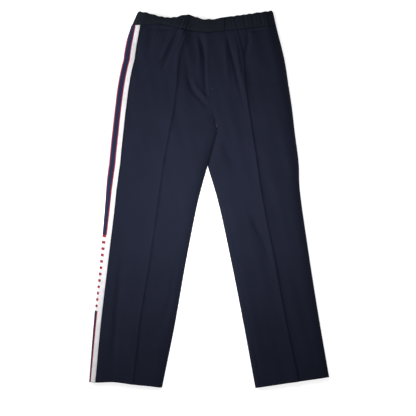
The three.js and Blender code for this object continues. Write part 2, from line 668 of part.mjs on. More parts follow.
// The slider: two plates round the chain, joined by a wedge above the last teeth, and a bridge for
// its pull.
const sliderTop = zipTop + 2;
const sliderFoot = sliderTop - SLIDER_LENGTH;
const upperPlate = chainMiddle + plateGap;
const lowerPlate = chainMiddle - plateGap - plateThickness;
const bridgeTop = upperPlate + plateThickness + 1.9;
const bridgeFar = sliderTop - 1.5;
const bridgeNear = sliderTop - 8;
const plateHalf = SLIDER_WIDTH / 2;
const plate = (z) => block(zipX - plateHalf, sliderFoot, z, zipX + plateHalf, sliderTop, z + plateThickness);
const bridgeHalf = 0.8;
const bridgeLeg = 1.0;
const bridgeBlock = (y0, z0, y1) => block(zipX - bridgeHalf, y0, z0, zipX + bridgeHalf, y1, bridgeTop);
const wedge = new THREE.CylinderGeometry(1.5, 1.5, 2 * plateGap + 2 * plateThickness - 0.2, 3);
wedge.rotateX(Math.PI / 2).translate(zipX, sliderTop - 2, chainMiddle);
add("zip_slider", join(
  plate(upperPlate),
  plate(lowerPlate),
  wedge,
  bridgeBlock(bridgeNear, bridgeTop - 0.7, bridgeFar),
  bridgeBlock(bridgeFar - bridgeLeg, upperPlate, bridgeFar),
  bridgeBlock(bridgeNear, upperPlate, bridgeNear + bridgeLeg),
), finish.metal);

const pullZ = upperPlate + plateThickness + 0.2;
const pullEnd = bridgeNear + 2.8;
const pullShape = new THREE.Shape();
pullShape.moveTo(zipX - 2.6, pullEnd);
pullShape.lineTo(zipX - 2.2, pullEnd - PULL_LENGTH);
pullShape.absarc(zipX, pullEnd - PULL_LENGTH, 2.2, Math.PI, 2 * Math.PI, false);
pullShape.lineTo(zipX + 2.6, pullEnd);
const eye = new THREE.Path();
eye.moveTo(zipX - 1.3, pullEnd - 1);
eye.lineTo(zipX + 1.3, pullEnd - 1);
eye.lineTo(zipX + 1.3, pullEnd - 4.6);
eye.lineTo(zipX - 1.3, pullEnd - 4.6);
pullShape.holes.push(eye);
const pull = new THREE.ExtrudeGeometry(pullShape, { depth: 0.7, bevelEnabled: false, curveSegments: 8 });
add("zip_pull", pull.translate(0, 0, pullZ), finish.metal);

// ---- side pockets: each bag is two pieces of pocketing that lie on each other ----
for (const [name, half] of Object.entries(halves)) {
  const mouth = (k) => between(half.tapeTurn, k) + TAPE_WIDTH / 2 + POCKET_SLIT;
  const bagPiece = (firstEdge, top, depth) => {
    const edges = (k) => [fromSide(half, k, firstEdge(k)), fromSide(half, k, mouth(k) + POCKET_REACH)];
    const rows = gridStations.filter((k) => k > top && k < BAG_FOOT);
    return layer(half, [top, ...rows, BAG_FOOT], edges, depth, depth + BAG_CLOTH);
  };
  const outside = CLOTH + GAP;
  // The front piece starts inside the mouth. The back piece passes behind it, under the tape.
  const frontBag = bagPiece((k) => Math.max(mouth(k) + 3, 4), 1.15, outside);
  const backBag = bagPiece((k) => Math.max(mouth(k) - 18, 2), 1.1, outside + BAG_CLOTH + GAP);
  add(`${name}_pocket_front_bag`, frontBag, finish.pocketing);
  add(`${name}_pocket_back_bag`, backBag, finish.pocketing);
}

// ---- back pocket, on the wearer's right ----
const underside = lift; // the back panels lie at this height between their rounded sides
const weltTop = underside - GAP;
const welt = block(-WELT_LENGTH / 2, -WELT_HEIGHT / 2, -WELT_THICKNESS, WELT_LENGTH / 2, WELT_HEIGHT / 2, 0);
add("back_pocket_welt", welt.translate(BACK_POCKET_X, backPocketY, weltTop), finish.suiting);

// The bag is open at the top and hangs inside the back panel.
const bagLow = underside + CLOTH + GAP;
const bagHalf = WELT_LENGTH / 2 + 8;
const bagTop = 16; // over the middle of the welt
const bagSeam = 5;
const backBag = block(-bagHalf, -BACK_BAG_DEPTH, 0, bagHalf, bagTop, BACK_BAG_THICKNESS);
const backRoom = block(
  bagSeam - bagHalf, bagSeam - BACK_BAG_DEPTH, BAG_CLOTH,
  bagHalf - bagSeam, 2 * bagTop, BACK_BAG_THICKNESS - BAG_CLOTH,
);
const backPocket = cut(backBag, backRoom).translate(BACK_POCKET_X, backPocketY, bagLow);
add("back_pocket_bag", backPocket, finish.pocketing);

const disc = (radius, height, sides) =>
  new THREE.CylinderGeometry(radius, radius, height, sides).rotateX(Math.PI / 2);
const holes = [[-1, -1], [1, -1], [-1, 1], [1, 1]].map(([x, y]) =>
  disc(BUTTON_HOLE / 2, 3, 8).translate(x * BUTTON_HOLE, y * BUTTON_HOLE, 0));
const button = cut(disc(BUTTON_DIAMETER / 2, BUTTON_THICKNESS, 24), ...holes);
const buttonY = backPocketY - WELT_HEIGHT / 2 - 12;
button.translate(BACK_POCKET_X, buttonY, weltTop - BUTTON_THICKNESS / 2);
add("back_pocket_button", button, finish.button);

// The origin is the middle of the footprint, on the table.
const box = new THREE.Box3().setFromObject(trousers);
const middle = box.getCenter(new THREE.Vector3());
trousers.position.set(-middle.x, -middle.y, -box.min.z);

export default trousers;
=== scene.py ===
import math
import bpy
import numpy as np
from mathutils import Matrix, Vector


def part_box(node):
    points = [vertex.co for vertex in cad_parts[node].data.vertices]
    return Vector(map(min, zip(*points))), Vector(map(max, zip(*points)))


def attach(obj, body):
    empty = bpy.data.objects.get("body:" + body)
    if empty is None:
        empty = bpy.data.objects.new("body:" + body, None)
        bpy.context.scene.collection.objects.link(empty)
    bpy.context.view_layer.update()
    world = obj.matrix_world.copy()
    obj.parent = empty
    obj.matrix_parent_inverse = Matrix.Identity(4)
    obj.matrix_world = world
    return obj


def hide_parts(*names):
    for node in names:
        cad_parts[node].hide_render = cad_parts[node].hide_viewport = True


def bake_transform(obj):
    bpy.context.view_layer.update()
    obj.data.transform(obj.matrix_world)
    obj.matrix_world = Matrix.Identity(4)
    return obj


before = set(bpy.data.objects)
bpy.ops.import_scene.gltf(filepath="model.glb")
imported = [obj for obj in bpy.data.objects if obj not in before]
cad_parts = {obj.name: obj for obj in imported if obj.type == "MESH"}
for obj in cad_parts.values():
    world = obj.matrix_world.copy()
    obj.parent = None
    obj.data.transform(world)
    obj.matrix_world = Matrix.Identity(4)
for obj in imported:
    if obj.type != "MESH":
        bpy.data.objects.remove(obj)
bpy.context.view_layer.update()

bl_info = {
    "name": "Striped track trousers",
    "version": (1, 0, 0),
    "blender": (4, 5, 0),
    "location": "View3D > Sidebar > Trousers",
    "description": "Tailored track trousers laid flat: cloth panels, side tapes, waistband, fly and pockets",
    "category": "Object",
}

MM = 0.001

# ---- The cut of the trousers, in millimetres. The cutting origin is the centre front at the fork.
FRONT_RISE = 272  # waistband seam to fork
BAND_HEIGHT = 36.5
BACK_RISE = 1
FLY_LENGTH = 158
FLY_DIP = 4  # the right front lies this much lower along the fly
FLY_DIP_REACH = 46
FLY_DIP_EASE = 30
FLY_CLOTH = 0.8
FACING_REACH = 12  # how far the fly facing reaches past the zip's tape
PARTING_DROP = 101
INSEAM = 722
FIRST_STEP = FRONT_RISE * 0.28  # from the waistband's seam to the next station
CLOTH = 1.0
TAPE_WIDTH = 42
TAPE_GAP = 0.4
TAPE_THICKNESS = 1.0
LIFT = TAPE_GAP + TAPE_THICKNESS  # the cloth's height over the table
TOP_ROUND = 34  # how far in from a folded side the top layer reaches its full height
UNDER_ROUND = 6.5  # how far in the bottom layer meets the table
RIM_BULGE = 0.3  # how far a sheet's rounded edge stands out, as a share of its thickness
CREASE_HEIGHT = 3.2
CREASE_RISE = 14  # the pressed crease rises slowly on one side
CREASE_FALL = 3.6  # and drops off sharply on the other
SEAM_GROOVE = 1.5
SEAM_GAP = 0.4
LAYER_GAP = 0.3
ELASTIC_THICKNESS = 1.5
ELASTIC_ENDS = (62, 50)  # from the centre front to the elastic's ends, right and left
LINING_THICKNESS = 0.8
LINING_ENDS = (3, 3)
LEGS_PRESS = 0.15  # how far each leg gives where the two touch
HEM_TURNING = 38
POCKET_REACH = 128
POCKET_SLIT = 0.9
BAG_HEAD, BAG_FOOT = 1.12, 4.35  # stations
BAG_CLOTH = 0.6
BACK_POCKET_X = -158
BACK_POCKET_DROP = 78
TAB_REACH = 37
TAB_ROOT = 41
TAB_THICKNESS = 1.2

# Stations: 0 waistband top, 1 waistband seam, 3 foot of the pocket mouths, 5 fork, 6 where the legs
# part, 7 thigh, 8 knee, 9 calf, 10 hem.
WAIST, POCKET_END, FORK, PARTING, HEM = 1, 3, 5, 6, 10
BODY = {
    "y": [FRONT_RISE + BAND_HEIGHT, FRONT_RISE, FRONT_RISE * 0.72, FRONT_RISE * 0.46, FRONT_RISE * 0.24, 0,
          -PARTING_DROP],
    "front_x": [-3, 0, 1, 2, 4, 22, -6],
    "width": [379, 405, 463, 489, 508, 522, 540],
    "twist": [9, 16, 22, 25, 26, 44, 13.5],
    "side_lift": [23, 21, 0, 2, -8, -4, 6],
}
LEG_DROPS = [185, 365, 545, INSEAM]
CROWNS = [26, 27, 27, 27, 25, 22.5, 21, 19, 17, 16, 14.5]
FOLD_RISES = [7.5, 7.5, 6, 5, 4.5, 4.2, 3.9, 3.9, 3.9, 3.9, 3.9]
CLOSINGS = [0, 0, 0, 0, 0, 0.5, 1, 1, 1, 1, 1]
CREASE_SHARE = [0, 0.15, 0.6, 1, 1, 1, 1, 1, 1, 1, 1]
HALVES = {
    "right": {
        "side": -1, "splay": 7.94, "axis_x": -136, "half_widths": [130, 119.5, 113, 102], "hem_skew": 8,
        "tape_turn": [-4, 4, 22, 22, 21, 21, 18, 8.5, 2, -1, -4],
        "inseam_turn": [0, 0, 0, 0, 0, 0, 2.5, 17, 20, 20, 20],
        "crease": [150, 155, 165, 174, 174.5, 169.5, 157, 147, 136, 126, 120],
        "top_waves": [(-8.5, 0.43, 0.17), (8.5, 0.63, 0.09), (-3.5, 0.81, 0.08)],
        "seam_waves": [(10, 0.42, 0.14)], "dip": FLY_DIP,
        "hem_waves": [(4.5, 0.4, 0.14), (-3, 0.9, 0.15)], "pucker": 1.1,
    },
    "left": {
        "side": 1, "splay": 10.06, "axis_x": 106, "half_widths": [116.5, 109.5, 106, 105], "hem_skew": 3,
        "tape_turn": [-24] * 11,
        "inseam_turn": [0, 0, 0, 0, 0, 0, -2.5, -15, -18, -17, -16],
        "crease": [104, 110, 118, 124.5, 125.5, 122, 119, 110.5, 100, 95.5, 89.5],
        "top_waves": [(1, 0.27, 0.15), (-2.5, 0.84, 0.1), (2, 0.1, 0.08)],
        "seam_waves": [], "dip": 0,
        "hem_waves": [(1.5, 0.5, 0.6)], "pucker": 0,
    },
}

# Folds in the cloth: where each runs, how high it stands and how wide it is. A valley is negative.
FOLDS = [
    # Beside the fly and under the tab.
    ([(-19, 266), (-15, 200), (-12, 128), (-9, 76)], -3.2, 5),
    ([(-33, 262), (-29, 196), (-28, 130)], 2.2, 6),
    ([(-62, 150), (-50, 112), (-26, 84), (-6, 62)], -4, 5),
    ([(-50, 150), (-38, 118), (-14, 92), (0, 76)], 3, 6),
    ([(-78, 300), (-76, 262), (-80, 214)], 3.5, 10),
    ([(-30, 268), (-24, 240), (-17, 200)], -3.5, 6),
    # The wearer's right hip: a long slanting fold from the waistband and its neighbours.
    ([(-98, 276), (-137, 195), (-164, 176), (-204, 157)], 3.4, 4.5),
    ([(-92, 262), (-118, 205), (-132, 168), (-170, 150)], -2.6, 5),
    ([(-84, 250), (-91, 196), (-93, 140)], 2.2, 6),
    ([(-76, 262), (-66, 190), (-58, 140)], -1.6, 6),
    ([(-171, 281), (-132, 281), (-94, 280)], -2.2, 3),
    ([(-160, 276), (-168, 232), (-176, 196)], -1.8, 8),
    # The wearer's left hip.
    ([(108, 274), (140, 277), (174, 283)], -2.2, 3),
    ([(50, 262), (56, 227), (65, 196), (85, 112), (96, 66)], -3.8, 4.5),
    ([(72, 250), (79, 196), (95, 112)], 2.2, 5),
    ([(42, 262), (46, 196), (54, 110)], 2.2, 7),
    ([(106, 274), (107, 238), (98, 200)], -4, 5),
    ([(180, 240), (196, 190), (214, 120)], 1.4, 14),
    # The legs.
    ([(-242, -340), (-250, -392), (-258, -476), (-264, -560), (-271, -640), (-274, -706)], -5, 9),
    ([(-226, -392), (-218, -476), (-218, -560), (-236, -680)], 2.2, 14),
    ([(-98, -380), (-108, -460), (-131, -560)], -2.8, 6),
    ([(-151, -600), (-134, -626)], 2.4, 6),
    ([(26, -14), (50, -66), (72, -112)], -3, 12),
    ([(112, -236), (150, -308), (176, -392)], -3.4, 8),
    ([(-30, 20), (-70, -10), (-120, -30)], 1.6, 16),
    ([(-226, 40), (-238, -60), (-250, -160)], -2, 16),
]


def smoothstep(x, low=0.0, high=1.0):
    t = np.clip((x - low) / (high - low), 0, 1)
    return t * t * (3 - 2 * t)


def between(values, k):
    return np.interp(k, range(len(values)), values)


def eased(values, k):
    i = np.clip(np.floor(k).astype(int), 0, len(values) - 2)
    values = np.asarray(values, float)
    return values[i] + (values[i + 1] - values[i]) * smoothstep(k - i)


def curve(points):
    """A smooth curve through points, read at a place from 0 to the last point's number."""
    p = np.asarray(points, float)
    p = np.vstack([2 * p[0] - p[1], p, 2 * p[-1] - p[-2]])

    def read(place):
        i = np.clip(np.floor(place).astype(int), 0, len(points) - 2)
        t = (place - i)[..., None]
        a, b, c, d = p[i], p[i + 1], p[i + 2], p[i + 3]
        steps = [np.sqrt(np.linalg.norm(q - r, axis=-1))[..., None] for q, r in ((b, a), (c, b), (d, c))]
        start = (b - a) / steps[0] - (c - a) / (steps[0] + steps[1]) + (c - b) / steps[1]
        finish = (c - b) / steps[1] - (d - b) / (steps[1] + steps[2]) + (d - c) / steps[2]
        start, finish = start * steps[1], finish * steps[1]
        square, cube = 3 * (c - b) - 2 * start - finish, 2 * (b - c) + start + finish
        return b + start * t + square * t**2 + cube * t**3

    return read


def run_along(points):
    """The distance along a line of points up to each of them."""
    return np.concatenate([[0], np.cumsum(np.linalg.norm(np.diff(points, axis=0), axis=1))])


def prepare(half):
    spread = math.radians(half["splay"])
    along = np.array([half["side"] * math.sin(spread), -math.cos(spread)])
    out = np.array([half["side"] * math.cos(spread), math.sin(spread)])
    outer, inner = [], []
    for y, x, width, twist, rise in zip(*BODY.values()):
        outer.append([x + half["side"] * width / 2 - twist, y + rise])
        inner.append([x, y])
    for drop, reach in zip(LEG_DROPS, half["half_widths"]):
        middle = np.array([half["axis_x"], 0]) + along * drop
        skew = along * (half["hem_skew"] if drop == INSEAM else 0)
        outer.append(middle + out * reach + skew)
        inner.append(middle - out * reach - skew)
    half.update(along=along, out=out, outer=np.array(outer), inner=np.array(inner))
    half["outer_curve"] = curve(outer[WAIST:])
    half["inner_leg_curve"] = curve(inner[PARTING:])


for one in HALVES.values():
    prepare(one)


def outer_point(half, k):
    band = half["outer"][0] + (half["outer"][1] - half["outer"][0]) * np.clip(k, 0, 1)[..., None]
    return np.where((k < WAIST)[..., None], band, half["outer_curve"](np.maximum(k, WAIST) - WAIST))


def inner_point(half, k):
    body = np.stack([between(half["inner"][:, axis], k) for axis in (0, 1)], axis=-1)
    pressed = smoothstep(k, FORK - 0.1, FORK) * (k < PARTING)  # the legs press on each other below the fork
    body[..., 0] -= half["side"] * LEGS_PRESS * pressed
    leg = half["inner_leg_curve"](np.maximum(k, PARTING) - PARTING)
    return np.where((k >= PARTING)[..., None], leg, body)


def quarter(x):
    return np.sqrt(1 - (1 - np.clip(x, 0, 1)) ** 2)


def waves(listed, turn):
    shares = (rise * np.exp(-(((turn - at) / reach) ** 2)) for rise, at, reach in listed)
    return sum(shares, np.zeros_like(turn))


def fold_relief(x, y):
    """The height of the listed folds at a place on the front."""
    total = np.zeros_like(x)
    for path, height, width in FOLDS:
        path = np.asarray(path, float)
        lengths = run_along(path)
        nearest = np.full(x.shape, 1e9)
        share = np.zeros_like(x)
        for i in range(len(path) - 1):
            step = path[i + 1] - path[i]
            t = np.clip(((x - path[i, 0]) * step[0] + (y - path[i, 1]) * step[1]) / (step @ step), 0, 1)
            away = np.hypot(x - path[i, 0] - t * step[0], y - path[i, 1] - t * step[1])
            closer = away < nearest
            nearest = np.where(closer, away, nearest)
            share = np.where(closer, (lengths[i] + t * (lengths[i + 1] - lengths[i])) / lengths[-1], share)
        taper = smoothstep(share, -0.12, 0.3) * (1 - smoothstep(share, 0.62, 1.08))
        total += height * taper * np.exp(-((nearest / width) ** 2))
    return total


def slow_waves(x, y):
    """The cloth's own slight unevenness, longer down the leg than across it."""
    parts = [(0.5, 61, 190, 0.3), (0.4, 97, 143, 2.1), (0.35, 44, 260, 4.0), (0.25, 33, 118, 1.2),
             (0.2, 150, 71, 5.2)]
    return sum(height * np.sin(2 * math.pi * (x / a + y / b) + phase) for height, a, b, phase in parts)


def gathers(arc, k, reach):
    """Ripples where the elastic draws the cloth in: full in the waistband and dying out below it."""
    below = np.clip(k - WAIST, 0, None) * FIRST_STEP
    ripple = (0.55 * np.sin(2 * math.pi * arc / 11 + 1.7 * np.sin(arc / 29))
              + 0.35 * np.sin(2 * math.pi * arc / 6.4 + 1.1 * np.sin(arc / 17))
              + 0.45 * np.sin(2 * math.pi * arc / 23 + 0.6))
    return reach * ripple * np.where(k < WAIST, 1.0, 0.9 * np.exp(-below / 34))


def section(half, k, sigma, depth=0.0, relief=True):
    """Points of a half's cross-section at station k. sigma is 0 at the folded side and 1 at the centre
    front or the inner fold: from 0 to 1 over the top, from 1 to 2 or from -1 to 0 underneath."""
    k, sigma = np.broadcast_arrays(np.asarray(k, float), np.asarray(sigma, float))
    outer, inner = outer_point(half, k), inner_point(half, k)
    closed = eased(CLOSINGS, k)
    across = inner - outer
    full = np.linalg.norm(across, axis=-1)
    turn = np.where(np.abs(sigma) > 1, 2 - np.abs(sigma), np.abs(sigma))
    under = (sigma > 1) | ((sigma < 0) & (sigma >= -1))
    width = full - depth * (1 + closed)
    from_outer = width * (1 - np.cos(math.pi * turn)) / 2
    from_inner = width - from_outer
    rounding = np.where(under, UNDER_ROUND, TOP_ROUND) - depth
    rise = quarter(from_outer / rounding) * (1 - closed * (1 - quarter(from_inner / rounding)))
    tip = LIFT + eased(FOLD_RISES, k)
    place = outer + across * ((from_outer + depth) / full)[..., None]
    foot = foot_of_fly()
    dip = half["dip"] * (1 - smoothstep(k, foot, foot + 1.2))
    dip = dip * (1 - smoothstep(from_inner, FLY_DIP_REACH, FLY_DIP_REACH + FLY_DIP_EASE))
    dip = dip * quarter(from_outer / rounding)
    past = half["side"] * (between(half["crease"], k) - from_outer - depth)
    rising, falling = np.exp(np.minimum(past, 0) / CREASE_RISE), np.exp(-((past / CREASE_FALL) ** 2))
    ridge = CREASE_HEIGHT * eased(CREASE_SHARE, k) * np.where(past < 0, rising, falling)
    top = tip + (eased(CROWNS, k) - depth - tip) * rise - dip + ridge
    bottom = tip - (tip - LIFT - depth) * rise
    x, y = place[..., 0], place[..., 1].copy()
    upper = np.clip(WAIST - k, 0, None)
    lower = (1 - smoothstep(k, WAIST, WAIST + 1)) * (1 - upper)
    y += upper * waves(half["top_waves"], turn)
    y += smoothstep(k, HEM - 0.6, HEM) * waves(half["hem_waves"], turn)
    y += np.where(under, upper * BACK_RISE * np.sin(math.pi * turn), lower * waves(half["seam_waves"], turn))
    if relief:
        calm = smoothstep(from_outer, 4, 40) * (1 - closed * (1 - smoothstep(from_inner, 4, 40)))
        plain = smoothstep(np.abs(x - 3), 44, 66)  # the tab and the fly below it aren't gathered
        gather = gathers(from_outer, k, 0.75 + half["pucker"] * np.exp(-(((turn - 0.6) / 0.13) ** 2)))
        puff = np.where(k < WAIST, 1.2 * np.sin(math.pi * np.clip(k, 0, 1)), 0)
        groove = -1.3 * np.exp(-((k - WAIST) * np.where(k < WAIST, BAND_HEIGHT, FIRST_STEP) / 3) ** 2)
        shown = calm * np.where(k < WAIST, 0.25, 1)
        inseam = between(half["inseam_turn"], k) + from_inner
        groove -= SEAM_GROOVE * smoothstep(k, PARTING, PARTING + 0.5) * np.exp(-((inseam / 2.4) ** 2))
        folds = fold_relief(x, y) + 0.8 * slow_waves(x, y)
        top = top + shown * folds + plain * gather + puff + groove * calm
        bottom = bottom + 0.5 * np.abs(gather) * (k < WAIST) + 0.25 * rise * (1 + np.sin(x / 23 + y / 61))
        crinkle = 0.7 * plain * np.sin(from_outer / 3.1 + np.sin(from_outer / 13)) * (1 - k / 0.3)
        y += np.where(k < 0.3, crinkle, 0)
    return np.stack([x, y, np.where(under, bottom, top)], axis=-1)


_foot = []


def foot_of_fly():
    """The station at the foot of the fly."""
    if not _foot:
        ks = np.linspace(WAIST, PARTING, 501)
        ys = inner_point(HALVES["right"], ks)[:, 1]
        _foot.append(float(ks[np.argmax(FRONT_RISE - ys >= FLY_LENGTH)]))
    return _foot[0]


def full_width(half, k):
    return np.linalg.norm(inner_point(half, k) - outer_point(half, k), axis=-1)


def from_side(half, k, distance):
    """sigma at a distance from the folded side: on top if positive, underneath if negative."""
    share = np.clip(1 - 2 * np.abs(distance) / full_width(half, k), -1, 1)
    return np.sign(distance) * np.arccos(share) / math.pi


def past_inner(half, k, distance):
    return 1 + from_side(half, k, distance)


def stations(half, start, stop, step):
    """Stations from start to stop, about step apart down the middle of the half."""
    ks = np.linspace(start, stop, 400)
    middle = (outer_point(half, ks) + inner_point(half, ks)) / 2
    run = run_along(middle)
    return np.interp(np.linspace(0, run[-1], max(int(run[-1] / step) + 1, 3)), run, ks)


def columns(keys):
    """A grid of sigmas: keys is [first edge, (steps, next edge), ...], each edge with one value a row."""
    parts = [np.asarray(keys[0], float)[:, None]]
    last = parts[0]
    for steps, edge in keys[1:]:
        edge = np.asarray(edge, float)[:, None]
        parts.append(last + (edge - last) * (np.arange(1, steps + 1) / steps))
        last = edge
    grid = np.concatenate(parts, axis=1)
    first = grid[:, :1] + (grid[:, 1:2] - grid[:, :1]) * 0.2
    final = grid[:, -1:] + (grid[:, -2:-1] - grid[:, -1:]) * 0.2
    return np.concatenate([grid[:, :1], first, grid[:, 1:-1], final, grid[:, -1:]], axis=1)


# The cutting origin in the row frame, from the middle of the back pocket's welt.
WELT_MIDDLE = (BACK_POCKET_X, FRONT_RISE - BACK_POCKET_DROP)
WELT_BOX = np.array([list(corner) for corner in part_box("back_pocket_welt")])
ORIGIN = np.array([*(WELT_BOX.mean(axis=0)[:2] / MM - WELT_MIDDLE), 0])


def cut_box(node):
    """The corners of a CAD node's box in the cutting frame."""
    return [np.array(corner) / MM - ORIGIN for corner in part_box(node)]


def in_frame(points):
    return (np.asarray(points, float) + ORIGIN) * MM


def deselect():
    if bpy.context.object and bpy.context.object.mode != "OBJECT":
        bpy.ops.object.mode_set(mode="OBJECT")
    bpy.ops.object.select_all(action="DESELECT")


def activate(obj):
    deselect()
    obj.select_set(True)
    bpy.context.view_layer.objects.active = obj


def paint(obj, name):
    obj.data.materials.clear()
    obj.data.materials.append(look(name))


def link(name, vertices, faces, uvs, look):
    mesh = bpy.data.meshes.new(name)
    mesh.from_pydata(np.asarray(vertices).tolist(), [], faces)
    layer = mesh.uv_layers.new(name="cloth")
    loops = np.zeros(len(mesh.loops), dtype=np.int32)
    mesh.loops.foreach_get("vertex_index", loops)
    layer.data.foreach_set("uv", np.asarray(uvs, dtype=np.float32)[loops].ravel())
    mesh.polygons.foreach_set("use_smooth", [True] * len(mesh.polygons))
    mesh.materials.append(look)
    mesh.update()
    obj = bpy.data.objects.new(name, mesh)
    bpy.context.scene.collection.objects.link(obj)
    return obj


def cloth(name, outside, inside, look, across=None):
    """A closed sheet of cloth with rounded edges between two grids of points, in millimetres. Its UV
    map is the distance across and down the cloth in metres, unless across gives the first."""
    rows, cols = outside.shape[:2]
    index = np.arange(rows * cols).reshape(rows, cols)
    a, b, c, d = index[:-1, :-1], index[:-1, 1:], index[1:, 1:], index[1:, :-1]
    upper = np.stack([a, b, c, d], axis=-1).reshape(-1, 4)
    size = rows * cols
    lower = upper[:, ::-1] + size
    border = np.concatenate([index[0, :-1], index[:-1, -1], index[-1, :0:-1], index[:0:-1, 0]])
    inward = np.concatenate([index[1, :-1], index[:-1, -2], index[-2, :0:-1], index[:0:-1, 1]])
    flat_out, flat_in = outside.reshape(-1, 3), inside.reshape(-1, 3)
    away = flat_out[border] - flat_out[inward]
    away /= np.maximum(np.linalg.norm(away, axis=1, keepdims=True), 1e-6)
    thick = np.linalg.norm(flat_out[border] - flat_in[border], axis=1, keepdims=True)
    rim = (flat_out[border] + flat_in[border]) / 2 + away * thick * RIM_BULGE
    ring = np.arange(len(border))
    after = np.roll(ring, -1)
    rim_at = 2 * size + ring
    walls = np.concatenate([
        np.stack([border[after], border, rim_at, rim_at[after]], axis=-1),
        np.stack([rim_at[after], rim_at, border + size, border[after] + size], axis=-1),
    ])
    vertices = in_frame(np.concatenate([flat_out, flat_in, rim]))
    faces = np.concatenate([upper, lower, walls])
    p, q, r = (vertices[faces[:, i]] for i in (0, 1, 2))
    s = vertices[faces[:, 3]]
    centre = vertices.mean(axis=0)
    turned = np.cross(q - centre, r - centre) + np.cross(r - centre, s - centre)
    volume = np.einsum("ij,ij->i", p - centre, turned).sum()
    if volume < 0:
        faces = faces[:, ::-1]
    if across is None:
        steps = np.linalg.norm(np.diff(outside, axis=1), axis=2)
        across = np.concatenate([np.zeros((rows, 1)), np.cumsum(steps, axis=1)], axis=1)
    rises = np.median(np.linalg.norm(np.diff(outside, axis=0), axis=2), axis=1)
    down = np.concatenate([[0], np.cumsum(rises)])
    uv = np.stack([across, np.broadcast_to(down[:, None], across.shape)], axis=-1).reshape(-1, 2) * MM
    return link(name, vertices, faces.tolist(), np.concatenate([uv, uv, uv[border]]), look)


def stand_for(obj, nodes, body=None):
    """obj takes the place of CAD nodes: they are hidden, and obj rides on a body if one is given."""
    if nodes:
        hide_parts(*nodes)
    if body:
        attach(obj, body)


def declared(name, grids, material, across=None):
    """A sheet of cloth from its outside and its inside. The plain surface in grids is not used."""
    outside, inside, plain = grids
    obj = cloth(name, outside, inside, look(material), across)
    return obj


def layers(half, ks, sigmas, depth, thickness, plain_depth=None):
    """A layer's outside, inside and plain surface, on the grid of stations and sigmas."""
    k = np.broadcast_to(ks[:, None], sigmas.shape)
    plain = section(half, k, sigmas, depth if plain_depth is None else plain_depth, relief=False)
    return section(half, k, sigmas, depth), section(half, k, sigmas, depth + thickness), plain


def across_knee(obj):
    """Bakes the object's place, turn and scale into its mesh."""
    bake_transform(obj)


# ---- Materials
def linear(text):
    """An sRGB hex colour as the linear RGBA that the shaders take."""
    parts = [int(text[i:i + 2], 16) / 255 for i in (1, 3, 5)]
    return (*[p / 12.92 if p <= 0.04045 else ((p + 0.055) / 1.055) ** 2.4 for p in parts], 1)


def add_node(tree, kind, inputs=(), **settings):
    """One node with its settings. inputs is (socket, value or output socket) pairs."""
    node = tree.nodes.new(kind)
    for key, value in settings.items():
        setattr(node, key, value)
    for socket, value in dict(inputs).items():
        if isinstance(value, bpy.types.NodeSocket):
            tree.links.new(value, node.inputs[socket])
        else:
            node.inputs[socket].default_value = value
    return node


def new_material(name, roughness, metallic=0.0, sheen=0.0, specular=0.5):
    material = bpy.data.materials.new(name)
    material.use_nodes = True
    tree = material.node_tree
    tree.nodes.clear()
    shader = add_node(tree, "ShaderNodeBsdfPrincipled", {
        "Roughness": roughness, "Metallic": metallic, "Sheen Weight": sheen, "Sheen Roughness": 0.45,
        "Specular IOR Level": specular})
    output = add_node(tree, "ShaderNodeOutputMaterial")
    tree.links.new(shader.outputs["BSDF"], output.inputs["Surface"])
    return material, tree, shader


def finish_look(tree, shader, colour, height, strength, distance):
    """Joins the colour and a bump of that height map to the shader."""
    bump = add_node(tree, "ShaderNodeBump", {"Height": height, "Strength": strength, "Distance": distance})
    tree.links.new(colour, shader.inputs["Base Color"])
    tree.links.new(bump.outputs["Normal"], shader.inputs["Normal"])


def ramp(tree, factor, stops):
    """A colour ramp with (place, hex colour) stops."""
    node = add_node(tree, "ShaderNodeValToRGB", {"Fac": factor})
    node.color_ramp.interpolation = "LINEAR"
    elements = node.color_ramp.elements
    while len(elements) < len(stops):
        elements.new(0.5)
    for element, (place, colour) in zip(elements, stops):
        element.position = place
        element.color = linear(colour)
    return node


def math_node(tree, operation, first, second=0.0, third=0.0):
    return add_node(tree, "ShaderNodeMath", {0: first, 1: second, 2: third}, operation=operation).outputs[0]


def blend_colour(tree, factor, first, second, mode="MIX"):
    """The output of a colour mix. Sockets: 0 factor, 6 and 7 the two colours, output 2 the result."""
    sockets = {0: factor, 6: first, 7: second}
    return add_node(tree, "ShaderNodeMix", sockets, data_type="RGBA", blend_type=mode).outputs[2]


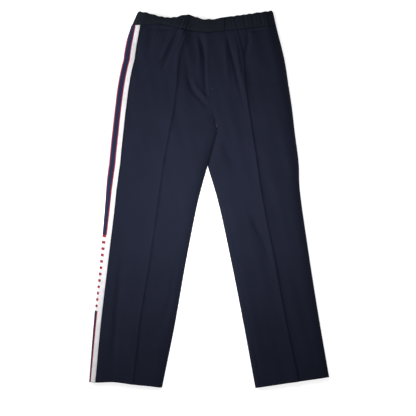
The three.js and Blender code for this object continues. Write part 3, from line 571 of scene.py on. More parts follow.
def woven(name, colours, spacing, angle, depth, roughness, sheen=0.0):
    """Woven cloth: two shades that drift slowly and a twill line in the bump and the colour. spacing is
    the distance between twill lines in metres, coarser than the real weave so that it shows, and angle
    their slant."""
    material, tree, shader = new_material(name, roughness, sheen=sheen, specular=0.1)
    uv = add_node(tree, "ShaderNodeUVMap", uv_map="cloth").outputs["UV"]
    turned = add_node(tree, "ShaderNodeMapping", {"Vector": uv, "Rotation": (0, 0, angle)}).outputs["Vector"]
    wave = {"Vector": turned, "Scale": math.tau / (20 * spacing), "Distortion": 0.6, "Detail": 1.0,
            "Detail Scale": 2.0}
    line = add_node(tree, "ShaderNodeTexWave", wave, wave_type="BANDS", bands_direction="X")
    fibre, drift = (add_node(tree, "ShaderNodeTexNoise", {
        "Vector": uv, "Scale": scale, "Detail": detail, "Roughness": rough,
    }) for scale, detail, rough in ((900.0, 3.0, 0.6), (9.0, 4.0, 0.55)))
    mottling = math_node(tree, "MULTIPLY", fibre.outputs["Fac"], 0.35)
    mixed = math_node(tree, "MULTIPLY_ADD", drift.outputs["Fac"], 0.35, mottling)
    shade = math_node(tree, "MULTIPLY_ADD", line.outputs["Fac"], 0.3, mixed)
    tint = ramp(tree, shade, [(0.15, colours[0]), (0.85, colours[1])])
    height = math_node(tree, "MULTIPLY_ADD", fibre.outputs["Fac"], 0.5, line.outputs["Fac"])
    finish_look(tree, shader, tint.outputs["Color"], height, 0.35, depth)
    return material


# Where each stripe starts, in millimetres across the tape, and its colour.
TAPE_STRIPES = [(0, "white"), (12, "red"), (14.5, "blue"), (27.5, "red"), (30, "white")]
RIB_SPACING = 1.3  # coarser than the real 0.6 mm ribs so that they show
BAR_STRETCH = (594, 809)  # from and to, down the tape
BAR_PITCH = 18
BAR_SHARE = 0.4
BAR_WIDTH = 15


def tape_material(settings):
    """Jacquard-woven ribbed tape: white ground with a blue stripe between two red pin stripes, and a
    stretch near the foot where the stripe gives way to plain red bars on the white ground."""
    material, tree, shader = new_material("side_tape_ribbed_jacquard", 0.75, sheen=0.05, specular=0.15)
    uv = add_node(tree, "ShaderNodeUVMap", uv_map="cloth").outputs["UV"]
    xyz = add_node(tree, "ShaderNodeSeparateXYZ", {"Vector": uv})
    across, down = (math_node(tree, "MULTIPLY", xyz.outputs[axis], 1000.0) for axis in "XY")
    colours = {name: linear(getattr(settings, f"tape_{name}")) for name in ("white", "red", "blue")}
    striped = colours[TAPE_STRIPES[0][1]]
    for start, colour in TAPE_STRIPES[1:]:
        striped = blend_colour(tree, math_node(tree, "GREATER_THAN", across, start), striped, colours[colour])
    start, stop = BAR_STRETCH
    inside = math_node(tree, "MULTIPLY", math_node(tree, "GREATER_THAN", down, start),
                       math_node(tree, "LESS_THAN", down, stop))
    pitches = math_node(tree, "DIVIDE", math_node(tree, "SUBTRACT", down, start), BAR_PITCH)
    bar = math_node(tree, "LESS_THAN", math_node(tree, "FRACT", pitches), BAR_SHARE)
    off_middle = math_node(tree, "ABSOLUTE", math_node(tree, "SUBTRACT", across, TAPE_WIDTH / 2))
    middle = math_node(tree, "LESS_THAN", off_middle, BAR_WIDTH / 2)
    red_bar = math_node(tree, "MULTIPLY", bar, middle)
    barred = blend_colour(tree, red_bar, colours["white"], colours["red"])
    whole = blend_colour(tree, inside, striped, barred)
    rib = math_node(tree, "SINE", math_node(tree, "MULTIPLY", down, math.tau / RIB_SPACING))
    warp = math_node(tree, "SINE", math_node(tree, "MULTIPLY", across, math.tau / 0.9))
    height = math_node(tree, "MULTIPLY_ADD", warp, 0.4, rib)
    soiled = add_node(tree, "ShaderNodeTexNoise", {"Vector": uv, "Scale": 60.0, "Detail": 4.0})
    shade = ramp(tree, soiled.outputs["Fac"], [(0.2, "#e9e9ec"), (0.7, "#ffffff")])
    tinted = blend_colour(tree, 1.0, whole, shade.outputs["Color"], "MULTIPLY")
    finish_look(tree, shader, tinted, height, 0.4, 0.0003)
    return material


def metal_material(name, colours, roughness):
    """Nickel-plated pressed brass: a soft grey gloss with fine tumbling marks."""
    material, tree, shader = new_material(name, roughness, metallic=1.0)
    place = add_node(tree, "ShaderNodeTexCoord").outputs["Object"]
    marks = add_node(tree, "ShaderNodeTexNoise", {"Vector": place, "Scale": 2500.0, "Detail": 3.0})
    tint = ramp(tree, marks.outputs["Fac"], [(0.3, colours[0]), (0.7, colours[1])])
    finish_look(tree, shader, tint.outputs["Color"], marks.outputs["Fac"], 0.15, 0.00005)
    return material


def plastic_material(name, colours, roughness, scale):
    """Moulded polyester or nylon: slight mottling and a fine moulded grain."""
    material, tree, shader = new_material(name, roughness)
    place = add_node(tree, "ShaderNodeTexCoord").outputs["Object"]
    grain = add_node(tree, "ShaderNodeTexNoise", {"Vector": place, "Scale": scale, "Detail": 4.0})
    tint = ramp(tree, grain.outputs["Fac"], [(0.35, colours[0]), (0.65, colours[1])])
    finish_look(tree, shader, tint.outputs["Color"], grain.outputs["Fac"], 0.2, 0.0001)
    return material


_looks = {}


def look(name):
    """The material of that name, made the first time that it is asked for."""
    if name in _looks:
        return _looks[name]
    settings = bpy.context.scene.trousers_colours
    twill = math.radians(28)
    makers = {
        # Worsted gabardine: tight twill, dull, a little light caught by the raised fibres.
        "suiting": (woven, "suiting_worsted_twill", (settings.cloth_dark, settings.cloth_light), 0.0021,
                    twill, 0.00022, 0.8, 0.02),
        # Waistband cloth: the same twill in darker colours, painted shade on the waistband.
        "band": (woven, "waistband_worsted_twill", (settings.band_painted_shade_dark, settings.band_painted_shade_light), 0.0021,
                 twill, 0.00022, 0.82, 0.02),
        # Acetate lining: smooth, close weave with a faint shine.
        "lining": (woven, "lining_acetate_satin", ("#171b28", "#222738"), 0.0012, 0.0, 0.00008, 0.5),
        # Knitted elastic: strong ribs along the band.
        "elastic": (woven, "elastic_knitted_rib", ("#1c202c", "#343a4b"), 0.003, 0.0, 0.0005, 0.85),
        # Pocketing: plain polyester-cotton weave.
        "pocketing": (woven, "pocketing_plain_weave", ("#1b1f2b", "#2a2f3e"), 0.0016, math.radians(45),
                      0.0001, 0.85),
        # Zip tape: herringbone polyester.
        "zip_tape": (woven, "zip_tape_herringbone", ("#171b29", "#232a3d"), 0.0018, math.radians(60), 0.0002,
                     0.8),
        # Label: satin ribbon, white.
        "label": (woven, "label_satin_ribbon", ("#dcdad4", "#f1efe9"), 0.001, 0.0, 0.00005, 0.55),
        # Spun polyester thread, in the cloth's colour and in white.
        "thread": (plastic_material, "thread_spun_polyester", ("#1b2034", "#2c324a"), 0.7, 1800.0),
        "white_thread": (plastic_material, "thread_white_polyester", ("#dedee2", "#f4f4f6"), 0.7, 1800.0),
        # Side tape, press stud and zip metal, zip coil and the back pocket's button.
        "side_tape": (tape_material, settings),
        "metal": (metal_material, "nickel_plated_brass", ("#9a9da3", "#c3c6cb"), 0.3),
        "coil": (plastic_material, "nylon_coil_moulded", ("#1d2230", "#2c3242"), 0.45, 900.0),
        "button": (plastic_material, "button_polyester_moulded", ("#161a24", "#262b38"), 0.35, 300.0),
    }
    make, *values = makers[name]
    _looks[name] = make(*values)
    return _looks[name]


# ---- Settings
def colour_text(name, description, default):
    described = description + ", as an sRGB hex value"
    return bpy.props.StringProperty(name=name, description=described, default=default)


def length(name, description, default, low, high):
    return bpy.props.FloatProperty(name=name, description=description, default=default, min=low, max=high,
                                   unit="LENGTH", subtype="DISTANCE")


class TROUSERS_PG_colours(bpy.types.PropertyGroup):
    """Colours of the cloth and the tape."""

    cloth_dark: colour_text("Cloth, dark", "Darker shade of the suiting", "#131723")
    cloth_light: colour_text("Cloth, light", "Lighter shade of the suiting", "#212437")
    # The waistband's two colours are darker copies of the suiting's: painted shade.
    band_painted_shade_dark: colour_text("Waistband, dark", "Darker shade of the waistband", "#13171f")
    band_painted_shade_light: colour_text("Waistband, light", "Lighter shade of the waistband", "#20242f")
    tape_white: colour_text("Tape ground", "Ground of the side tape", "#f6f5f6")
    tape_blue: colour_text("Tape stripe", "Middle stripe of the side tape", "#212544")
    tape_red: colour_text("Tape pin stripe", "Pin stripes and bars of the side tape", "#a01c36")


class TROUSERS_PG_sizes(bpy.types.PropertyGroup):
    """Sizes that the shapes are built with."""

    grid: length("Grid", "Size of the mesh's squares on the panels", 3.2 * MM, 2 * MM, 20 * MM)
    stitch: length("Stitch", "Length from one stitch to the next", 3 * MM, 1.5 * MM, 8 * MM)
    thread: length("Thread", "Thickness of the sewing thread", 0.4 * MM, 0.1 * MM, 1 * MM)
    floor: length("Floor", "Width of the floor", 8.0, 2.0, 40.0)


def sizes():
    return bpy.context.scene.trousers_sizes


def grid_step():
    return sizes().grid / MM


# ---- Panels and tapes
BELOW_MOUTH = POCKET_END + 0.06


def front_edge(half, ks):
    """Where the front's outer edge lies: the pocket mouth beside the tape, then the seam under the tape."""
    middle = between(half["tape_turn"], ks)
    under_tape = smoothstep(ks, POCKET_END, BELOW_MOUTH)
    return middle + (TAPE_WIDTH / 2 + POCKET_SLIT) * (1 - under_tape) + SEAM_GAP / 2 * under_tape


def make_front(side):
    half = HALVES[side]
    ks = stations(half, WAIST + 0.003, HEM, grid_step())
    crease = from_side(half, ks, between(half["crease"], ks))
    inseam = past_inner(half, ks, between(half["inseam_turn"], ks) - SEAM_GAP / 2)
    beside = [from_side(half, ks, between(half["crease"], ks) + distance) for distance in (-14, -5, 5, 14)]
    sigmas = columns([from_side(half, ks, front_edge(half, ks)), (36, beside[0]), (4, beside[1]), (4, crease),
                      (4, beside[2]), (4, beside[3]), (34, inseam)])
    obj = declared(f"{side}_front", layers(half, ks, sigmas, 0, CLOTH), "suiting")
    stand_for(obj, [f"{side}_front_upper", f"{side}_front_lower"])
    across_knee(obj)


def make_back(side):
    half = HALVES[side]
    ks = stations(half, WAIST + 0.003, HEM, grid_step() * 1.3)
    inseam = past_inner(half, ks, between(half["inseam_turn"], ks) + SEAM_GAP / 2) - 2
    seam = from_side(half, ks, between(half["tape_turn"], ks) - SEAM_GAP / 2)
    sigmas = columns([inseam, (30, (inseam + seam) / 2), (30, seam)])
    obj = declared(f"{side}_back", layers(half, ks, sigmas, 0, CLOTH), "suiting")
    stand_for(obj, [f"{side}_back_upper", f"{side}_back_lower"])
    across_knee(obj)


def make_tape(side):
    half = HALVES[side]
    ks = stations(half, WAIST + 0.003, HEM, grid_step() * 0.8)
    middle = between(half["tape_turn"], ks)
    edges = [from_side(half, ks, middle + offset * TAPE_WIDTH / 2) for offset in (-1, 0, 1)]
    sigmas = columns([edges[0], (14, edges[1]), (14, edges[2])])
    distances = np.sign(sigmas) * full_width(half, ks)[:, None] * (1 - np.cos(math.pi * np.abs(sigmas))) / 2
    # The stripes are measured level over the top and along the cloth where the tape turns down.
    grids = layers(half, ks, sigmas, -LIFT, TAPE_THICKNESS)
    level = np.diff(distances, axis=1)
    along = np.linalg.norm(np.diff(grids[2], axis=1), axis=2)
    steps = level + (along - level) * (1 - smoothstep(distances[:, 1:], 1.5, 5))
    across = np.full(sigmas.shape, float(TAPE_WIDTH))
    across[:, :-1] -= np.cumsum(steps[:, ::-1], axis=1)[:, ::-1]
    obj = declared(f"{side}_side_tape", grids, "side_tape", across)
    stand_for(obj, [f"{side}_side_tape_upper", f"{side}_side_tape_lower"])
    across_knee(obj)


def make_hem_facing(side):
    half = HALVES[side]
    top = HEM - HEM_TURNING / (INSEAM - LEG_DROPS[2])
    ks = stations(half, top, HEM - 0.012, grid_step() * 0.9)
    edge = np.full(len(ks), 0.999)
    grids = layers(half, ks, columns([-edge, (50, edge * 0), (50, edge)]), CLOTH + LAYER_GAP, CLOTH)
    obj = declared(f"{side}_hem_facing_cloth", grids, "suiting")
    stand_for(obj, [f"{side}_hem_facing"], f"{side}_lower_leg")


# ---- Waistband
def make_waistband(side):
    half = HALVES[side]
    ks = np.concatenate([[0, 0.02, 0.06], np.linspace(0.1, 0.99, 13)])
    front = past_inner(half, ks, np.full(len(ks), -0.25))
    sigmas = columns([-front, (70, front * 0), (110, front)])
    turned_in = np.interp(ks, [0, 0.02, 0.06, 0.1], [1.6, 0.7, 0.2, 0])[:, None]
    grids = layers(half, ks, sigmas, turned_in, CLOTH, plain_depth=0)
    obj = declared(f"waistband_{side}_cloth", grids, "band")
    stand_for(obj, [f"waistband_{side}"], "seat")


def band_strip(name, node, ends, depth, thickness, material):
    """A strip inside the waistband, from one side of the front round the back to the other."""
    ks = np.linspace(0.06, 0.94, 10)
    halves = []
    for side, end in zip(("right", "left"), ends):
        half = HALVES[side]
        start = np.full(len(ks), -1.0)
        stop = past_inner(half, ks, np.full(len(ks), -float(end)))
        halves.append(layers(half, ks, columns([start, (40, start * 0), (50, stop)]), depth, thickness))
    grids = [np.concatenate([right[:, ::-1], left[:, 1:]], axis=1) for right, left in zip(*halves)]
    obj = declared(name, grids, material)
    stand_for(obj, [node], "seat")


def make_tab():
    """The waistband's smooth front tab, a doubled cloth with its edges pressed in."""
    xs = np.linspace(-TAB_REACH, TAB_ROOT, 40)
    ts = np.linspace(0, 1, 16)
    low, high = [], []
    for x in xs:
        half = HALVES["right" if x < 0 else "left"]
        for store, k in ((low, 0.97), (high, 0.0)):
            sigma = past_inner(half, np.array([k]), np.array([-abs(x)]))
            store.append(section(half, np.array([k]), sigma, 0, relief=False)[0, 1])
    y = np.array(low)[None, :] + (np.array(high) - np.array(low))[None, :] * ts[:, None]
    x = np.broadcast_to(xs[None, :], y.shape)
    z = np.full(y.shape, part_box("waist_tab")[0][2] / MM)
    drape = 0.9 * np.sin(math.pi * ts)[:, None] * (0.7 + 0.3 * np.cos(x / 21)) + 0.25 * np.sin(x / 7 + y / 19)
    outside = np.stack([x, y, z + TAB_THICKNESS + drape], axis=-1)
    inside = np.stack([x, y, z + drape * 0.2], axis=-1)
    obj = cloth("waist_tab_cloth", outside, inside, look("band"))
    stand_for(obj, ["waist_tab"])
    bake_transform(obj)


def lay_flat(name, node, x, y, heights, material):
    """A flat rectangle of cloth in the place of a CAD node, from its upper and lower heights."""
    upper, lower = (np.stack([x, y, z], axis=-1) for z in heights)
    obj = cloth(name, upper, lower, look(material))
    stand_for(obj, [node], "seat")


def make_label():
    """A blank satin size label, a folded ribbon sewn to the lining at the back."""
    low, high = cut_box("size_label")
    x, y = np.meshgrid(np.linspace(low[0], high[0], 14), np.linspace(low[1], high[1], 12))
    z = low[2] + 0.2 + 0.35 * np.sin((y - low[1]) / (high[1] - low[1]) * math.pi) * (1 + 0.4 * np.sin(x / 6))
    lay_flat("size_label_ribbon", "size_label", x, y, (z + 0.4, z), "label")


# ---- Fly, pockets and fastenings
def swept(node, profile, thickness, material):
    """A strip of cloth with a bent cross-section: profile is its (x, z) points in the cutting frame, and
    it runs the length of the CAD node."""
    low, high = cut_box(node)
    points = np.asarray(profile, float)
    run = run_along(points)
    at = np.unique(np.concatenate([np.arange(0, run[-1], 1.5), run]))
    px, pz = (np.interp(at, run, points[:, axis]) for axis in (0, 1))
    tangent = np.stack([np.gradient(px), np.gradient(pz)], axis=-1)
    tangent /= np.linalg.norm(tangent, axis=1, keepdims=True)
    normal = np.stack([-tangent[:, 1], tangent[:, 0]], axis=-1)
    ys = np.linspace(low[1], high[1], max(int((high[1] - low[1]) / 4), 4))
    wave = 0.12 * np.sin(ys / 11)[:, None]
    y = np.broadcast_to(ys[:, None], (len(ys), len(at)))
    outside, inside = (
        np.stack([px + normal[:, 0] * offset + 0 * y, y, pz + normal[:, 1] * offset + wave], axis=-1)
        for offset in (thickness / 2, -thickness / 2))
    obj = cloth(f"{node}_cloth", outside, inside, look(material))
    stand_for(obj, [node], "seat")


def make_fly():
    """The facing, the shield and the zip's tapes as bent strips, and the look of the zip's metal."""
    half_cloth = FLY_CLOTH / 2
    low, high = cut_box("fly_facing")
    top, web = high[2] - half_cloth, high[0] - FACING_REACH + half_cloth
    swept("fly_facing", [(low[0], top), (web, top), (web, low[2])], FLY_CLOTH, "suiting")
    low, high = cut_box("fly_shield")
    edge, base = low[0] + half_cloth, low[2] + half_cloth
    swept("fly_shield", [(edge, high[2]), (edge, base), (high[0], base)], FLY_CLOTH, "suiting")
    for node in ("zip_tape_right", "zip_tape_left"):
        low, high = cut_box(node)
        z = (low[2] + high[2]) / 2
        swept(node, [(low[0], z), (high[0], z)], 0.6, "zip_tape")
    for node, material in (("zip_teeth_right", "coil"), ("zip_teeth_left", "coil"), ("zip_slider", "metal"),
                           ("zip_pull", "metal"), ("zip_bottom_stop", "metal")):
        paint(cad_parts[node], material)


def make_pocket_bags(side):
    half = HALVES[side]
    ks = stations(half, BAG_HEAD, BAG_FOOT, 7)
    mouth = between(half["tape_turn"], ks) + TAPE_WIDTH / 2 + POCKET_SLIT
    stop = from_side(half, ks, mouth + POCKET_REACH)
    bags = (("front_bag", np.maximum(mouth + 3, 4), CLOTH + LAYER_GAP),
            ("back_bag", np.maximum(mouth - 18, 2), CLOTH + LAYER_GAP + 0.9))
    for name, start, depth in bags:
        sigmas = columns([from_side(half, ks, start), (28, stop)])
        grids = layers(half, ks, sigmas, depth, BAG_CLOTH)
        obj = declared(f"{side}_pocket_{name}_cloth", grids, "pocketing")
        stand_for(obj, [f"{side}_pocket_{name}"], "seat")


def flat_panel(name, node, z, thickness, material, wave):
    """A cloth of the back pocket, at a height in millimetres, with a slight wave."""
    low, high = cut_box(node)
    xs, ys = (np.linspace(low[axis], high[axis], max(int((high[axis] - low[axis]) / 5), least))
              for axis, least in ((0, 6), (1, 4)))
    x, y = np.meshgrid(xs, ys)
    lift = wave * (np.sin(x / 13 + y / 29) + 1)
    lay_flat(name, node, x, y, (z + thickness + lift, z + lift), material)


def select_faces(obj, test):
    """Selects only the faces whose centre and normal pass the test, in edit mode."""
    bpy.ops.object.mode_set(mode="EDIT")
    bpy.ops.mesh.select_mode(type="FACE")
    bpy.ops.mesh.select_all(action="DESELECT")
    bpy.ops.object.mode_set(mode="OBJECT")
    for polygon in obj.data.polygons:
        polygon.select = bool(test(polygon.center, polygon.normal))
    bpy.ops.object.mode_set(mode="EDIT")


def place_in_mesh(obj):
    """Puts the object's place, turn and scale into its mesh."""
    activate(obj)
    bpy.ops.object.transform_apply(location=True, rotation=True, scale=True)


def apply_modifier(obj, kind, **settings):
    modifier = obj.modifiers.new(kind, kind)
    for key, value in settings.items():
        setattr(modifier, key, value)
    activate(obj)
    bpy.ops.object.modifier_apply(modifier=modifier.name)


def add_bevel(obj, width):
    apply_modifier(obj, "BEVEL", width=width, segments=2, limit_method="ANGLE")
    bpy.ops.object.shade_smooth_by_angle(angle=math.radians(35))


def disc(name, centre, radius, depth, sides=48):
    """A round slab with its place in its mesh."""
    deselect()
    bpy.ops.mesh.primitive_cylinder_add(vertices=sides, radius=radius, depth=depth, location=centre)
    obj = bpy.context.object
    obj.name = obj.data.name = name
    place_in_mesh(obj)
    return obj


def make_button():
    """A four-hole button with a raised rim, facing down."""
    low, high = (Vector(corner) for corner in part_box("back_pocket_button"))
    centre = (low + high) / 2
    radius = (high.x - low.x) / 2
    obj = disc("back_pocket_button_turned", centre, radius, high.z - low.z)
    select_faces(obj, lambda c, n: n.z < -0.9)
    bpy.ops.mesh.inset(thickness=radius * 0.22)
    bpy.ops.transform.translate(value=(0, 0, 0.25 * MM))
    bpy.ops.mesh.inset(thickness=radius * 0.08)
    bpy.ops.transform.translate(value=(0, 0, 0.1 * MM))
    bpy.ops.object.mode_set(mode="OBJECT")
    for x, y in ((-1, -1), (1, -1), (-1, 1), (1, 1)):
        drill = disc("drill", centre + Vector((x * 1.6 * MM, y * 1.6 * MM, 0)), 0.75 * MM, 6 * MM, sides=16)
        apply_modifier(obj, "BOOLEAN", object=drill, operation="DIFFERENCE", solver="EXACT")
        bpy.data.objects.remove(drill)
    add_bevel(obj, 0.12 * MM)
    paint(obj, "button")
    stand_for(obj, ["back_pocket_button"], "seat")


def make_stud(name, node, body, up):
    """One half of the press stud: the stud if it faces up, else its socket, with a rolled rim."""
    low, high = (Vector(corner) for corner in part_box(node))
    centre = (low + high) / 2
    radius = (high.x - low.x) / 2
    plate = 0.6 * MM
    depth = high.z - low.z - plate
    sign = 1 if up else -1
    base = low.z if up else high.z
    obj = disc(name, Vector((centre.x, centre.y, base + sign * plate / 2)), radius, plate)
    select_faces(obj, lambda c, n: n.z * sign > 0.9)
    # Insets as a share of the radius, then how far the face moves and how its width changes.
    if up:
        steps = [(0.55, depth * 0.55, 1.25), (None, depth * 0.45, 0.7)]
    else:
        steps = [(0.1, depth, 1), (0.24, 0.3 * MM - depth, 1)]
    for inset, rise, widen in steps:
        if inset:
            bpy.ops.mesh.inset(thickness=radius * inset)
        bpy.ops.mesh.extrude_region_move(TRANSFORM_OT_translate={"value": (0, 0, sign * rise)})
        if widen != 1:
            bpy.ops.transform.resize(value=(widen, widen, 1), center_override=centre)
    bpy.ops.object.mode_set(mode="OBJECT")
    add_bevel(obj, 0.15 * MM)
    paint(obj, "metal")
    stand_for(obj, [node], body)


# ---- Stitching
STITCH_RINGS = ((0.45, 0.0), (1.0, 0.55), (0.45, 0.0))  # each ring's width and its height over the cloth
STITCH_CORNERS = ((-1, -0.4), (1, -0.4), (0.7, 0.9), (-0.7, 0.9))
STITCH_FACES = [[ring + j, ring + (j + 1) % 4, ring + 4 + (j + 1) % 4, ring + 4 + j]
                for ring in (0, 4) for j in range(4)] + [[3, 2, 1, 0], [8, 9, 10, 11]]


def stitches(name, lines, material, pitch=None, share=0.72, width=None):
    """Rows of stitches as short fat threads that lie on the cloth. lines are lists of points in
    millimetres in the cutting frame with the direction that the cloth faces at each."""
    pitch = pitch or sizes().stitch / MM
    half_width = (width or sizes().thread / MM) / 2
    vertices, faces = [], []
    for points, normals in lines:
        points, normals = np.asarray(points, float), np.asarray(normals, float)
        run = run_along(points)
        for i in range(int(run[-1] / pitch)):
            ends = (i * pitch + 0.4, i * pitch + 0.4 + pitch * share)
            middle = (ends[0] + ends[1]) / 2
            at = [np.array([np.interp(place, run, points[:, axis]) for axis in range(3)])
                  for place in (ends[0], middle, ends[1])]
            up = np.array([np.interp(middle, run, normals[:, axis]) for axis in range(3)])
            up /= np.linalg.norm(up)
            ahead = at[2] - at[0]
            ahead /= np.linalg.norm(ahead)
            side = np.cross(up, ahead)
            faces += [[len(vertices) + corner for corner in face] for face in STITCH_FACES]
            for place, (scale, height) in zip(at, STITCH_RINGS):
                for a, b in STITCH_CORNERS:
                    rise = b * half_width * scale + height * half_width
                    vertices.append(place + side * a * half_width * scale + up * rise)
    obj = link(name, in_frame(vertices), faces, np.zeros((len(vertices), 2)), look(material))
    recalculate(obj)
    return obj


def recalculate(obj):
    """Turns the mesh's faces outwards."""
    activate(obj)
    bpy.ops.object.mode_set(mode="EDIT")
    bpy.ops.mesh.select_all(action="SELECT")
    bpy.ops.mesh.normals_make_consistent(inside=False)
    bpy.ops.object.mode_set(mode="OBJECT")


def on_layer(half, ks, distances, depth, from_inner=False):
    """A line on a layer: the points at distances from a fold, and the way that the cloth faces there."""
    ks, distances = np.asarray(ks, float), np.asarray(distances, float)
    reach = past_inner if from_inner else from_side
    sigma = reach(half, ks, distances)
    points = section(half, ks, sigma, depth)
    wider = section(half, ks, sigma, depth + 1)
    normals = points - wider
    return points, normals / np.maximum(np.linalg.norm(normals, axis=1, keepdims=True), 1e-6)


def make_tape_stitching(side):
    half = HALVES[side]
    ks = stations(half, WAIST + 0.02, HEM - 0.01, 5)
    middle = between(half["tape_turn"], ks)
    lines = [on_layer(half, ks, middle + offset, -LIFT - 0.1) for offset in (-19.4, 19.4)]
    obj = stitches(f"{side}_tape_stitching", lines, "white_thread")
    across_knee(obj)


def make_fly_stitching():
    """The J-stitch that holds the fly facing and a row of stitches beside its edge. The bartack at its foot
    is made with the others.
    """
    half = HALVES["left"]
    foot = foot_of_fly()
    reach = 40
    ks = np.linspace(WAIST + 0.05, foot, 90)
    curve_in = np.clip((ks - (foot - 0.62)) / 0.62, 0, 1)
    distances = -(1.5 + (reach - 1.5) * np.sqrt(np.clip(1 - curve_in**2, 0, 1)))
    edge = np.linspace(WAIST + 0.05, foot + 0.1, 60)
    lines = [on_layer(half, ks, distances, -0.12, True), on_layer(half, edge, np.full(60, -2.2), -0.12, True)]
    obj = stitches("fly_stitching", lines, "thread")
    stand_for(obj, [], "seat")


def bartack(points, normals):
    """A bartack as one zigzag line of close stitches, 8 mm long and 2.2 mm wide."""
    length, gap, reach = 8, 0.45, 1.1
    direction = (points[1] - points[0]) / np.linalg.norm(points[1] - points[0])
    normal = tuple(normals[0])
    side = np.cross(normal, direction)
    count = int(length / gap)
    zigzag = [points.mean(axis=0) + direction * (i * gap - length / 2) + side * reach * (1 if i % 2 else -1)
              for i in range(count)]
    return zigzag, [normal] * count


def make_bartacks():
    lines = []
    for half in HALVES.values():
        for k in (WAIST + 0.16, POCKET_END - 0.02):
            turn = float(between(half["tape_turn"], k)) + TAPE_WIDTH / 2 + 3.4
            lines.append(bartack(*on_layer(half, [k, k], [turn - 3, turn + 3], -0.25)))
    foot = foot_of_fly()
    lines.append(bartack(*on_layer(HALVES["left"], [foot, foot], [-5.0, -1.0], -0.25, True)))
    obj = stitches("pocket_and_fly_bartacks", lines, "thread", pitch=2.25, share=0.96, width=0.35)
    stand_for(obj, [], "seat")


def make_pocket_stitching():
    """Edge stitching along the pocket mouths and round the back welt."""
    lines = []
    for half in HALVES.values():
        ks = stations(half, WAIST + 0.16, POCKET_END - 0.03, 5)
        turn = between(half["tape_turn"], ks) + TAPE_WIDTH / 2 + POCKET_SLIT
        for offset in (1.6, 7.0):
            lines.append(on_layer(half, ks, turn + offset, -0.12))
    low, high = cut_box("back_pocket_welt")
    down = (0, 0, -1)
    left, right, bottom, top = low[0] + 1.5, high[0] - 1.5, low[1] + 1.2, high[1] - 1.2
    corners = [(left, bottom), (right, bottom), (right, top), (left, top), (left, bottom)]
    lines.append(([(x, y, low[2] + 0.02) for x, y in corners], [down] * 5))
    obj = stitches("pocket_stitching", lines, "thread")
    stand_for(obj, [], "seat")


# ---- Stage
PICTURE_WIDTH = 1.1648  # metres of table across the picture
CAMERA_HEIGHT = 3.4
LIT = (-0.04, 0.06, 0)  # the lights point here
LIGHTS = [  # name, place in metres, width in metres and power in watts
    ("key", (-1.3, 0.42, 0.65), 0.5, 14.5),
    ("overhead", (-0.04, -0.03, 0.5), 0.3, 2.7),
    ("fill", (1.9, -0.9, 2.1), 2.4, 4),
]
ROOM_LIGHT = 0.16
TABLE_GLOW = 0.75  # the table is a light box
CAMERA_PLACE = (-0.0032, -0.0227)  # over this point of the table


def make_stage():
    deselect()
    bpy.ops.mesh.primitive_plane_add(size=sizes().floor, location=(0, 0, -0.0004))
    floor = bpy.context.object
    floor.name = "floor"
    material, _, shader = new_material("floor_matt_white", 0.9)
    shader.inputs["Base Color"].default_value = linear("#f6f6f7")
    shader.inputs["Emission Color"].default_value = (1, 1, 1, 1)
    shader.inputs["Emission Strength"].default_value = TABLE_GLOW
    floor.data.materials.append(material)

    data = bpy.data.cameras.new("camera")
    camera = bpy.data.objects.new("camera", data)
    bpy.context.scene.collection.objects.link(camera)
    camera.location = (CAMERA_PLACE[0], CAMERA_PLACE[1], CAMERA_HEIGHT)
    data.sensor_width = 36
    data.lens = 36 * (CAMERA_HEIGHT - 0.02) / PICTURE_WIDTH
    data.clip_end = 50
    bpy.context.scene.camera = camera

    for name, place, size, power in LIGHTS:
        lamp = bpy.data.lights.new(name, "AREA")
        lamp.size = size
        lamp.energy = power
        holder = bpy.data.objects.new(name, lamp)
        holder.location = place
        holder.rotation_mode = "QUATERNION"
        holder.rotation_quaternion = (Vector(LIT) - Vector(place)).to_track_quat("-Z", "Y")
        bpy.context.scene.collection.objects.link(holder)

    world = bpy.data.worlds.new("studio")
    world.use_nodes = True
    world.node_tree.nodes["Background"].inputs["Color"].default_value = (1, 1, 1, 1)
    world.node_tree.nodes["Background"].inputs["Strength"].default_value = ROOM_LIGHT
    bpy.context.scene.world = world
    bpy.context.scene.view_settings.view_transform = "Standard"


# ---- Operators, panel and registration
class TROUSERS_OT_stage(bpy.types.Operator):
    """Add the floor, the lights and the camera"""

    bl_idname = "trousers.stage"
    bl_label = "Stage"

    def execute(self, context):
        make_stage()
        return {"FINISHED"}


class TROUSERS_OT_fronts(bpy.types.Operator):
    """Build the two front panels from the waistband to the hem"""

    bl_idname = "trousers.fronts"
    bl_label = "Front panels"

    def execute(self, context):
        for side in HALVES:
            make_front(side)
        return {"FINISHED"}


class TROUSERS_OT_backs(bpy.types.Operator):
    """Build the two back panels and the turned-up hems"""

    bl_idname = "trousers.backs"
    bl_label = "Back panels and hems"

    def execute(self, context):
        for side in HALVES:
            make_back(side)
            make_hem_facing(side)
        return {"FINISHED"}


class TROUSERS_OT_side_tapes(bpy.types.Operator):
    """Build the two striped side tapes with their stitching"""

    bl_idname = "trousers.side_tapes"
    bl_label = "Side tapes"

    def execute(self, context):
        for side in HALVES:
            make_tape(side)
            make_tape_stitching(side)
        return {"FINISHED"}


class TROUSERS_OT_waistband(bpy.types.Operator):
    """Build the gathered waistband, its elastic and lining, the tab and the label"""

    bl_idname = "trousers.waistband"
    bl_label = "Waistband"

    def execute(self, context):
        for side in HALVES:
            make_waistband(side)
        band_strip("waistband_elastic_knit", "waistband_elastic", ELASTIC_ENDS, CLOTH + LAYER_GAP,
                   ELASTIC_THICKNESS, "elastic")
        band_strip("waistband_lining_cloth", "waistband_lining", LINING_ENDS,
                   CLOTH + ELASTIC_THICKNESS + 2 * LAYER_GAP, LINING_THICKNESS, "lining")
        make_tab()
        make_label()
        return {"FINISHED"}


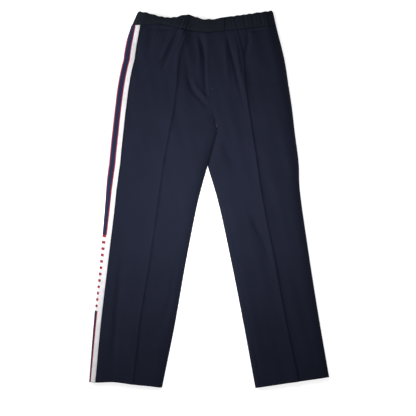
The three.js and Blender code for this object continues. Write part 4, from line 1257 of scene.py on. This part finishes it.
class TROUSERS_OT_fly(bpy.types.Operator):
    """Build the fly, the zip's tapes and the press stud"""

    bl_idname = "trousers.fly"
    bl_label = "Fly and fastenings"

    def execute(self, context):
        make_fly()
        make_fly_stitching()
        make_stud("waistband_stud_turned", "waistband_stud", "seat", True)
        make_stud("tab_stud_socket_turned", "tab_stud_socket", "waist_tab", False)
        return {"FINISHED"}


class TROUSERS_OT_pockets(bpy.types.Operator):
    """Build the side pocket bags and the back pocket with its welt and button"""

    bl_idname = "trousers.pockets"
    bl_label = "Pockets"

    def execute(self, context):
        for side in HALVES:
            make_pocket_bags(side)
        welt, bag = (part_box(node)[0][2] / MM for node in ("back_pocket_welt", "back_pocket_bag"))
        flat_panel("back_pocket_welt_cloth", "back_pocket_welt", welt, 0.8, "suiting", 0.0)
        flat_panel("back_pocket_bag_cloth", "back_pocket_bag", bag + 0.2, 1.6, "pocketing", 0.15)
        make_button()
        make_pocket_stitching()
        make_bartacks()
        return {"FINISHED"}


class TROUSERS_PT_panel(bpy.types.Panel):
    """The trousers' sizes, colours and steps"""

    bl_label = "Trousers"
    bl_idname = "TROUSERS_PT_panel"
    bl_space_type = "VIEW_3D"
    bl_region_type = "UI"
    bl_category = "Trousers"

    def draw(self, context):
        for group in (context.scene.trousers_sizes, context.scene.trousers_colours):
            for key in group.__annotations__:
                self.layout.prop(group, key)
        for step in STEPS:
            self.layout.operator(step.bl_idname)


STEPS = [TROUSERS_OT_stage, TROUSERS_OT_fronts, TROUSERS_OT_backs, TROUSERS_OT_side_tapes,
         TROUSERS_OT_waistband, TROUSERS_OT_fly, TROUSERS_OT_pockets]
CLASSES = [TROUSERS_PG_colours, TROUSERS_PG_sizes, *STEPS, TROUSERS_PT_panel]


def register():
    for item in CLASSES:
        bpy.utils.register_class(item)
    bpy.types.Scene.trousers_colours = bpy.props.PointerProperty(type=TROUSERS_PG_colours)
    bpy.types.Scene.trousers_sizes = bpy.props.PointerProperty(type=TROUSERS_PG_sizes)


def unregister():
    del bpy.types.Scene.trousers_sizes
    del bpy.types.Scene.trousers_colours
    for item in reversed(CLASSES):
        bpy.utils.unregister_class(item)


def main():
    register()
    bpy.ops.trousers.stage()
    bpy.ops.trousers.fronts()
    bpy.ops.trousers.backs()
    bpy.ops.trousers.side_tapes()
    bpy.ops.trousers.waistband()
    bpy.ops.trousers.fly()
    bpy.ops.trousers.pockets()


if __name__ == "__main__":
    main()
